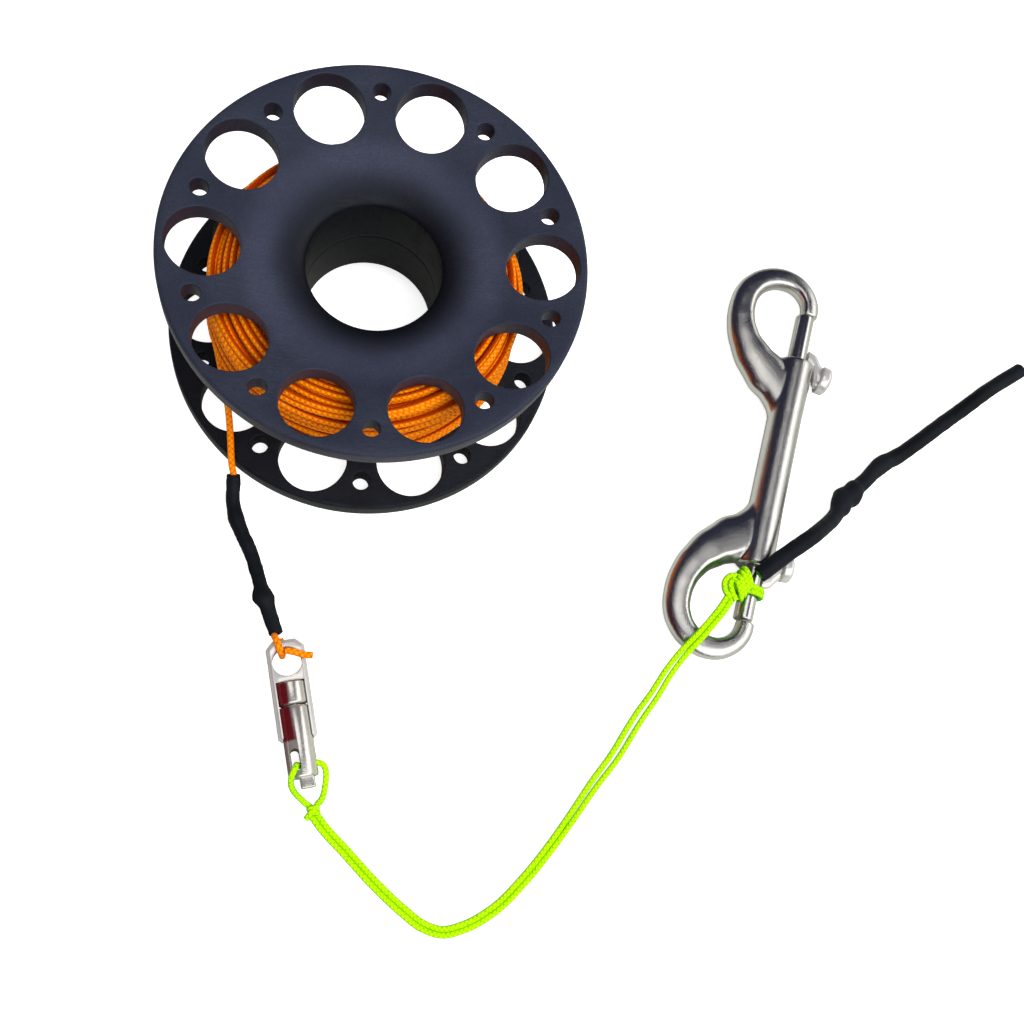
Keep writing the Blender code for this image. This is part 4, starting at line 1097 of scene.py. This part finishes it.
def build_eye_plate():
    """The plate: a chamfered outline with the eye, and the channel that the barrel lies in."""
    bm = bmesh.new()
    side = [(plate_start, plate_half_width - plate_corner), (plate_start + plate_corner, plate_half_width),
            (arm_end - arm_corner, plate_half_width), (arm_end, plate_half_width - arm_corner)]
    outline = side + [(x, -y) for x, y in reversed(side)]
    face = bm.faces.new([bm.verts.new((x, y, -plate_half_thickness)) for x, y in outline])
    made = bmesh.ops.extrude_face_region(bm, geom=[face])
    top = [v for v in made["geom"] if isinstance(v, bmesh.types.BMVert)]
    bmesh.ops.translate(bm, vec=(0, 0, 2 * plate_half_thickness), verts=top)
    long_edges = [e for e in bm.edges if abs(e.verts[0].co.z - e.verts[1].co.z) < 1e-6]
    bmesh.ops.bevel(bm, geom=long_edges, offset=0.0008, segments=1, affect='EDGES')
    plate = bmesh_object(bm, "connector_eye_plate", plate_finish, connector_frame)
    eye = rod_piece("eye_drill", rounded_rod(eye_radius, -0.004, 0.004, 0.0001), 72,
                    connector_frame @ standing((0, 0, 0), 90, 'Y'))
    channel_profile = rounded_rod(barrel_radius + 0.0002, collar_start - 0.0003, 0.019, 0.0001)
    channel = rod_piece("channel_drill", channel_profile, 72, connector_frame)
    plate = paint(bevelled(apply_boolean(plate, [eye, channel]), 0.00016, 2), plate_finish)
    finish_piece(plate, fixed_body, "turned_steel", "connector_eye")


def build_collar():
    """The fixed collar, with a rounded shoulder at the seam."""
    profile = [(collar_bore, collar_start + 0.0002), (barrel_radius - 0.0002, collar_start),
               (barrel_radius, collar_start + 0.0002), (barrel_radius, seam_place - 0.00045),
               (barrel_radius - 0.0001, seam_place - 0.0002), (barrel_radius - 0.0004, seam_place),
               (collar_bore, seam_place), (collar_bore, collar_start + 0.0002)]
    collar = rod_piece("connector_collar_ring", profile, 96, connector_frame, barrel_finish)
    finish_piece(sharpen(collar, 40), fixed_body, "turned_steel", "connector_collar")


def build_barrel():
    """The turning barrel with its slot, cross hole and foot."""
    start = seam_place + 0.0003
    profile = [(0.0, start), (barrel_radius - 0.0004, start), (barrel_radius - 0.0001, start + 0.0002),
               (barrel_radius, start + 0.0005), (barrel_radius, barrel_end - 0.0005),
               (barrel_radius - 0.00015, barrel_end - 0.00015), (barrel_radius - 0.0005, barrel_end),
               (0.0, barrel_end)]
    barrel = rod_piece("connector_barrel_shell", profile, 96, connector_frame, barrel_finish)
    foot = box_piece("barrel_foot", (barrel_end - 0.0022, -0.0009, -0.0024),
                     (barrel_end + 0.0022, 0.0023, -0.0004), connector_frame)
    barrel = apply_boolean(barrel, [bevelled(foot, 0.0004, 4)], 'UNION')
    slot = box_piece("cord_slot", (0.0188, -0.0021, -0.005), (0.0234, -0.0003, 0.005), connector_frame)
    slot = bevelled(slot, 0.0008, 5)
    cross = rod_piece("cord_hole", rounded_rod(leash_radius + 0.0004, 0.0, 0.0055, 0.0001), 40,
                      connector_frame @ standing((cross_place, -0.0012, 0), 90))
    barrel = sharpen(bevelled(apply_boolean(barrel, [slot, cross]), 0.00012, 2, 40), 50)
    finish_piece(paint(barrel, barrel_finish), barrel_body, "turned_steel", "connector_barrel")


build_eye_plate()
build_collar()
build_barrel()
paint(nodes["connector_pin"], turned_finish)
print("connector done")

# %% [markdown]
# ## The leash
# One length of lime cord is doubled. Its middle is a loop through the barrel, closed by a small
# knot, and both strands then run side by side to the snap. They are drawn as one mesh with two
# tubes, which part a little on the way up to the snap.

# %% Leash strands
def leash_piece(name, paths, radius, sides, body, *replaced):
    """A piece of lime cord."""
    return finish_piece(tube(name, paths, radius, sides, leash_finish), body, "leash_lime", *replaced)


def strand(side):
    """One strand beside the leash's route."""
    points = []
    for i, point in enumerate(leash_path):
        run = run_at(leash_path, i)
        across = Vector((-run.y, run.x, 0)).normalized()
        apart = 0.00030 * math.exp(-((i / (len(leash_path) - 1) - 0.72) / 0.13) ** 2)
        points.append(point + across * side * (leash_radius - 0.00004 + apart))
    return points


leash_path = smooth_path(leash_route, 0.0006)
leash = leash_piece("leash_strands", [strand(1), strand(-1)], leash_radius, 14, fixed_body,
                    "leash_inner_strand", "leash_outer_strand")

# %% Loop through the barrel and its knot
leash_loop_path = put(connector_frame, smooth_path(leash_loop_route, 0.0004))
leash_piece("leash_loop_cord", [leash_loop_path], leash_radius, 14, barrel_body, "leash_loop")


def wrap_path(matrix, wraps, radius, squeeze, length, steps, lean):
    """A helix of a few wraps about local X, flattened by squeeze and leaning over by lean."""
    points = []
    for k in range(steps + 1):
        share = k / steps
        a = math.tau * wraps * share
        points.append(((share - 0.5) * length + lean * math.cos(a), radius * math.cos(a),
                       radius * squeeze * math.sin(a)))
    return put(matrix, points)


def build_loop_knot():
    """A small stopper knot: a wrap and a third, with one strand over it and one under."""
    knot_frame = connector_frame @ Matrix.Translation((0.0318, 0.0010, -0.0021))
    paths = [wrap_path(knot_frame, 1.3, 0.00078, 0.9, 0.00100, 40, 0.0003),
             placed_path(knot_frame, 0.0003, (-1.5, 1.4, -0.2), (-0.5, 0.5, 0.7), (0.6, -0.7, 0.9),
                         (1.5, -1.8, 0.3)),
             placed_path(knot_frame, 0.0003, (-1.7, -1.3, -0.3), (-0.5, -0.3, 0.0), (1.0, 0.3, 0.4))]
    leash_piece("leash_loop_knot_turns", paths, leash_radius * 0.98, 12, barrel_body, "leash_loop_knot")


build_loop_knot()


# %% [markdown]
# ### The knot on the snap
# The leash is tied round the lower bolt. Seen from above, three wraps lie side by side across the
# leash, with a lobe of cord on the left, and two turns go round the bolt below.

# %% Snap knot
def build_snap_knot():
    """An outer and an inner run of wraps, a lobe of two strands, and two rings round the bolt."""
    knot_frame = snap_frame @ standing((-0.0332, 0.0032, 0.0044), -27)
    paths = [wrap_path(knot_frame, 3.6, 0.00205, 0.95, 0.0044, 120, 0.0015),
             wrap_path(knot_frame, 2.0, 0.00110, 0.85, 0.0048, 60, 0.0006),
             placed_path(knot_frame, 0.0004, (-4.5, -0.2, 0.4), (-4.1, 1.8, 0.4), (-2.7, 3.2, 0.4),
                         (-0.9, 3.3, 0.6), (0.4, 2.2, 0.8)),
             placed_path(knot_frame, 0.0004, (-4.2, -1.4, 0.6), (-3.2, 0.8, 0.8), (-2.1, 2.1, 0.9),
                         (-0.7, 2.1, 1.1))]
    bolt_ring = bolt_radius + 0.0001 + leash_radius
    for spot, lean in ((-0.0325, 0.0001), (-0.0338, -0.0001)):
        ring_frame = snap_frame @ Matrix.Translation((spot, 0, 0))
        paths.append(wrap_path(ring_frame, 1, bolt_ring, 1.0, 0.0, 40, lean))
    leash_piece("leash_snap_knot_turns", paths, leash_radius * 1.02, 12, fixed_body, "leash_snap_knot")


build_snap_knot()
paint(nodes["leash_tail"], leash_finish)

# %% [markdown]
# ### The sleeved tail
# Beyond the knot both ends run in a second shrink sleeve, to stiffen the leash's handle end. A
# twisted lump shows where the cords are knotted inside.

# %% Tail
tail_path = smooth_path(tail_route, 0.00035)
tail_bumps = [(0.347, 0.50, 0.034, 2.4, 2.0), (0.380, 0.56, 0.030, 0.3, 2.0), (0.364, 0.16, 0.05, 4.5, 0.0),
              (0.495, 0.22, 0.030, 0.8, 0.6), (0.53, 0.10, 0.05, 2.5, 0.0), (0.10, 0.06, 0.10, 1.6, 0.0)]
tail = sleeve("tail_sleeve_skin", tail_path, 0.00190, tail_bumps, 36, 0.00008, 9.0, 0.0014, 0.004, 0.9)
finish_piece(tail, fixed_body, "shrink_black", "tail_sleeve")

# %% [markdown]
# ## The snap
# Each hook is a loft of oval sections along a curve, and the shank is a turned rod. A voxel remesh
# melts the three together and a few rounds of smoothing give the soft fillets of a casting. Only
# then are the bores and slots cut, so that their edges stay crisp.

# %% Snap body
# Each station is (place, place across, half width, half height).
hook_stations = from_mm(
    (9.0, 0.3, 2.8, 2.4), (12.8, 1.0, 3.4, 2.9), (17.7, 2.7, 4.6, 3.2), (21.8, 6.5, 5.6, 3.3),
    (25.2, 10.6, 4.7, 3.3), (29.7, 14.1, 3.8, 3.1), (34.3, 15.9, 3.4, 2.9), (38.2, 16.3, 3.2, 2.7),
    (42.5, 15.6, 3.1, 2.6), (46.3, 13.0, 2.9, 2.5), (48.6, 8.4, 2.7, 2.4), (48.4, 4.4, 2.5, 2.3),
    (46.8, 1.7, 2.3, 2.3), (44.2, -0.2, 2.2, 2.2), (42.1, -0.7, 2.2, 2.2), (40.4, -0.7, 2.1, 2.1))
hook_spacing = 0.0007
crest_shift = 0.36
loft_gain = 0.00008
shank_half_length = 0.0272
shank_radius = 0.00445
waist_radius = shank_radius - 0.0003
stud_slot_end = 0.01515


def station_values(column):
    """Half widths or heights at the same places as the points of the hook's smooth path."""
    result = []
    for a, b in zip(hook_stations, hook_stations[1:]):
        steps = max(1, round((Vector(b[:2]) - Vector(a[:2])).length / hook_spacing))
        result += [a[column] + (b[column] - a[column]) * ease(k / steps) for k in range(steps)]
    return result + [hook_stations[-1][column]]


def hook_loft(bm, side):
    """One hook as a loft of ovals, from inside the shank round to the tip."""
    centres = smooth_path([(x, y, 0) for x, y, _, _ in hook_stations], hook_spacing)
    rings = []
    for i, (centre, width, height) in enumerate(zip(centres, station_values(2), station_values(3))):
        run = run_at(centres, i) if i <= len(centres) - 4 else Vector((-1, 0, 0))
        across = Vector((-run.y, run.x, 0)).normalized()
        ring = []
        for a in circle_steps(36):
            flat = math.copysign(abs(math.cos(a)) ** 0.88, math.cos(a)) * (width + loft_gain)
            rise = math.copysign(abs(math.sin(a)) ** 0.92, math.sin(a)) * (height + loft_gain)
            flat -= crest_shift * width * max(0.0, math.sin(a)) * (1 - abs(math.cos(a)))
            point = centre + across * flat + Vector((0, 0, rise))
            ring.append(bm.verts.new((side * point.x, point.y, point.z)))
        rings.append(ring)
    skin_rings(bm, rings)


def build_snap_body():
    """The casting: loft, remesh, smooth, then bore and slot."""
    bm = bmesh.new()
    hook_loft(bm, 1)
    hook_loft(bm, -1)
    half = [(0.0, shank_half_length), (shank_radius - 0.0004, shank_half_length),
            (shank_radius, shank_half_length - 0.0004), (waist_radius, 0.012)]
    lathe(bm, [(r, -x) for r, x in half] + half[::-1], 72)
    body = bmesh_object(bm, "snap_body_casting", cast_finish)
    remesh = body.modifiers.new("melt", 'REMESH')
    remesh.mode = 'VOXEL'
    remesh.voxel_size = 0.00032
    remesh.use_smooth_shade = True
    smooth = body.modifiers.new("soften", 'SMOOTH')
    smooth.factor = 0.5
    smooth.iterations = 9
    body = baked(body)
    cutters = []
    for side in (1, -1):
        ends = sorted((side * 0.0018, side * (shank_half_length + 0.0046)))
        bore = rounded_rod(bolt_radius + 0.00015, *ends, 0.0001)
        cutters.append(rod_piece(f"bore_{side}", bore, 64, Matrix()))
        low, high = sorted((side * stud_slot_end, side * (shank_half_length + 0.001)))
        cutters.append(box_piece(f"slot_{side}", (low, -0.0055, -0.00135), (high, 0.0, 0.00135), Matrix()))
    body = paint(apply_boolean(body, cutters, solver='MANIFOLD'), cast_finish)
    body.data.transform(snap_frame)
    print("snap body", len(body.data.polygons), "faces")
    finish_piece(sharpen(body, 45), fixed_body, "cast_steel", "snap_body")


build_snap_body()

# %% [markdown]
# ### Bolts, thumb studs and springs
# Each bolt slides in the shank and its stud sticks out through the slot. The springs behind the
# bolts are hidden, but they are there, each as one fixed coil.

# %% Bolts and studs
# Each station of a stud's neck is (reach, near end, far end, half thickness).
neck_stations = from_mm((2.6, 27.6, 31.6, 1.05), (4.4, 26.4, 31.1, 1.10), (5.0, 22.6, 30.6, 1.30),
                        (5.9, 22.2, 29.2, 1.45), (7.0, 22.4, 27.8, 1.50))
disc_radius = 0.0035
disc_wall = 0.0016
disc_crown = 0.0014


def build_bolt(name, side):
    """One bolt and its stud, both riding on the bolt's own body."""
    turn = snap_frame @ standing((0, 0, 0), 0 if side > 0 else 180)
    bolt = rod_piece(f"snap_{name}_bolt_rod", rounded_rod(bolt_radius, 0.0160, 0.0401, 0.00035), 64, turn,
                     turned_finish)
    finish_piece(sharpen(bolt, 50), f"{name}_bolt", "turned_steel", f"snap_{name}_bolt")
    out = -side
    bm = bmesh.new()
    skin_rings(bm, [[bm.verts.new(((near + far) / 2 + (far - near) / 2 * math.cos(a), out * reach,
                                   half * 1.12 * math.sin(a))) for a in circle_steps(20)]
                    for reach, near, far, half in neck_stations])
    neck = bmesh_object(bm, f"snap_{name}_thumb_stud", plate_finish, turn)
    dome = [(0.0, 0.0), (0.0033, 0.0), (disc_radius, 0.0002), (disc_radius, disc_wall)]
    dome += [(disc_radius * x, disc_wall + disc_crown * y) for x, y in arc(0.0, 0.0, 1.0, 0, 1, 8)[1:]]
    disc = rod_piece("disc", dome, 56, turn @ standing((0.0250, out * 0.0064, 0), out * 90 - side * 7))
    stud = paint(bevelled(apply_boolean(neck, [disc], 'UNION'), 0.00015, 2, 40), plate_finish)
    finish_piece(sharpen(stud, 50), f"{name}_bolt", "turned_steel", f"snap_{name}_stud")


def build_spring(name, side):
    """The compression spring behind a bolt, as one fixed coil."""
    start, end, coil_radius, turns, steps = 0.0023, 0.0155, 0.0017, 5, 120
    path = []
    for k in range(steps + 1):
        share = k / steps
        rise = clamp((share - 0.075) / 0.85, 0.0, 1.0)
        a = math.tau * turns * share
        path.append((side * (start + (end - start) * rise),
                     coil_radius * math.cos(a), coil_radius * math.sin(a)))
    spring = tube(f"snap_{name}_spring_coil", [put(snap_frame, path)], 0.0002, 8, spring_finish)
    finish_piece(spring, fixed_body, "spring_steel", f"snap_{name}_spring")
    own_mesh(spring)


for end_name, end_side in (("upper", 1), ("lower", -1)):
    build_bolt(end_name, end_side)
    build_spring(end_name, end_side)

# %% [markdown]
# ## Floor and light
# The floor is white card, a little brighter for the camera than for the light, so that the page
# stays white and a soft shadow remains. In reflections it is greyer, with a dark red patch beside
# the connector. Polished steel mirrors a room that is dark navy, dark red on the left, with a
# bright card at the right and front and a small bright patch overhead. A soft lamp stands to the
# right and in front, and it shows in no reflection.

# %% Floor
floor_colour = (0.86, 0.86, 0.86)
floor_in_reflections = (0.46, 0.465, 0.415)
floor_patch_colour = (0.055, 0.008, 0.009)
floor_patch_place = (-0.030, -0.085, 0.0)
white = (1.0, 1.0, 1.0)


def build_floor():
    """A large pale card with a glow that only the camera sees."""
    material, tree, shader = new_finish("floor_card", Roughness=0.9, Specular_IOR_Level=0.0,
                                        Emission_Color=(*white, 1.0))
    rays = add_node(tree, 'ShaderNodeLightPath').outputs
    ground = add_node(tree, 'ShaderNodeNewGeometry').outputs["Position"]
    away = vector_math(tree, 'DISTANCE', ground, floor_patch_place).outputs["Value"]
    patch = calc(tree, 'MULTIPLY', ramp_up(tree, away, 0.034, 0.026), rays["Is Glossy Ray"])
    tint = blend(tree, rays["Is Glossy Ray"], floor_colour, floor_in_reflections)
    wire(tree, shader.inputs["Base Color"], blend(tree, patch, tint, floor_patch_colour))
    wire(tree, shader.inputs["Emission Strength"], calc(tree, 'MULTIPLY', rays["Is Camera Ray"], 0.80))
    bm = bmesh.new()
    bmesh.ops.create_grid(bm, x_segments=1, y_segments=1, size=3.0)
    bmesh.ops.translate(bm, vec=(0, 0, -0.0001), verts=bm.verts)
    link("floor", plain_mesh(bm, "floor"), material)


def build_world():
    """The room: what polished steel mirrors, a soft plain light for the rest, and white for the camera."""
    world = bpy.data.worlds.new("room")
    bpy.context.scene.world = world
    world.use_nodes = True
    tree = world.node_tree
    rays = add_node(tree, 'ShaderNodeLightPath').outputs
    outward = add_node(tree, 'ShaderNodeTexCoord').outputs["Generated"]

    def side(direction, start, full):
        return facing(tree, outward, direction, start, full)

    walls = blend(tree, side((-1.0, -0.25, 0.10), 0.60, 0.90), (0.020, 0.022, 0.042), (0.060, 0.010, 0.011))
    card = blend(tree, side((0.0, 0.0, 1.0), 0.28, 0.46), (0.56, 0.57, 0.51), (1.75, 1.73, 1.69))
    right_and_front = ('MAXIMUM', side((1.0, 0.0, 0.0), 0.54, 0.68), side((0.45, -1.0, 0.0), 0.25, 0.50))
    card_share = calc(tree, 'MULTIPLY', right_and_front, side((0.8, 0.0, 1.0), 0.25, 0.50))
    mirrored = blend(tree, side((-0.05, 0.12, 0.99), 0.950, 0.975), blend(tree, card_share, walls, card),
                     (1.30, 1.27, 1.22))
    soft = blend(tree, side((0.0, 0.0, 1.0), 0.25, 0.95), (0.12, 0.12, 0.13), (0.74, 0.74, 0.76))
    lit = blend(tree, rays["Is Glossy Ray"], soft, mirrored)
    background = tree.nodes["Background"]
    wire(tree, background.inputs["Color"], blend(tree, rays["Is Camera Ray"], lit, white))
    background.inputs["Strength"].default_value = 1.0


def soft_lamp(name, place, aim, size, power):
    """A square area lamp aimed at a point, which reflections don't show."""
    light = bpy.data.lights.new(name, 'AREA')
    light.shape = 'RECTANGLE'
    light.size = light.size_y = size
    light.energy = power
    lamp = link(name, light)
    lamp.location = place
    lamp.visible_glossy = False
    lamp.rotation_euler = (Vector(aim) - Vector(place)).to_track_quat('-Z', 'Y').to_euler()


build_floor()
build_world()
soft_lamp("front_right_box", (0.34, -0.26, 0.90), (0.04, -0.02, 0.0), 0.7, 10.0)
bpy.context.scene.view_settings.view_transform = 'Standard'
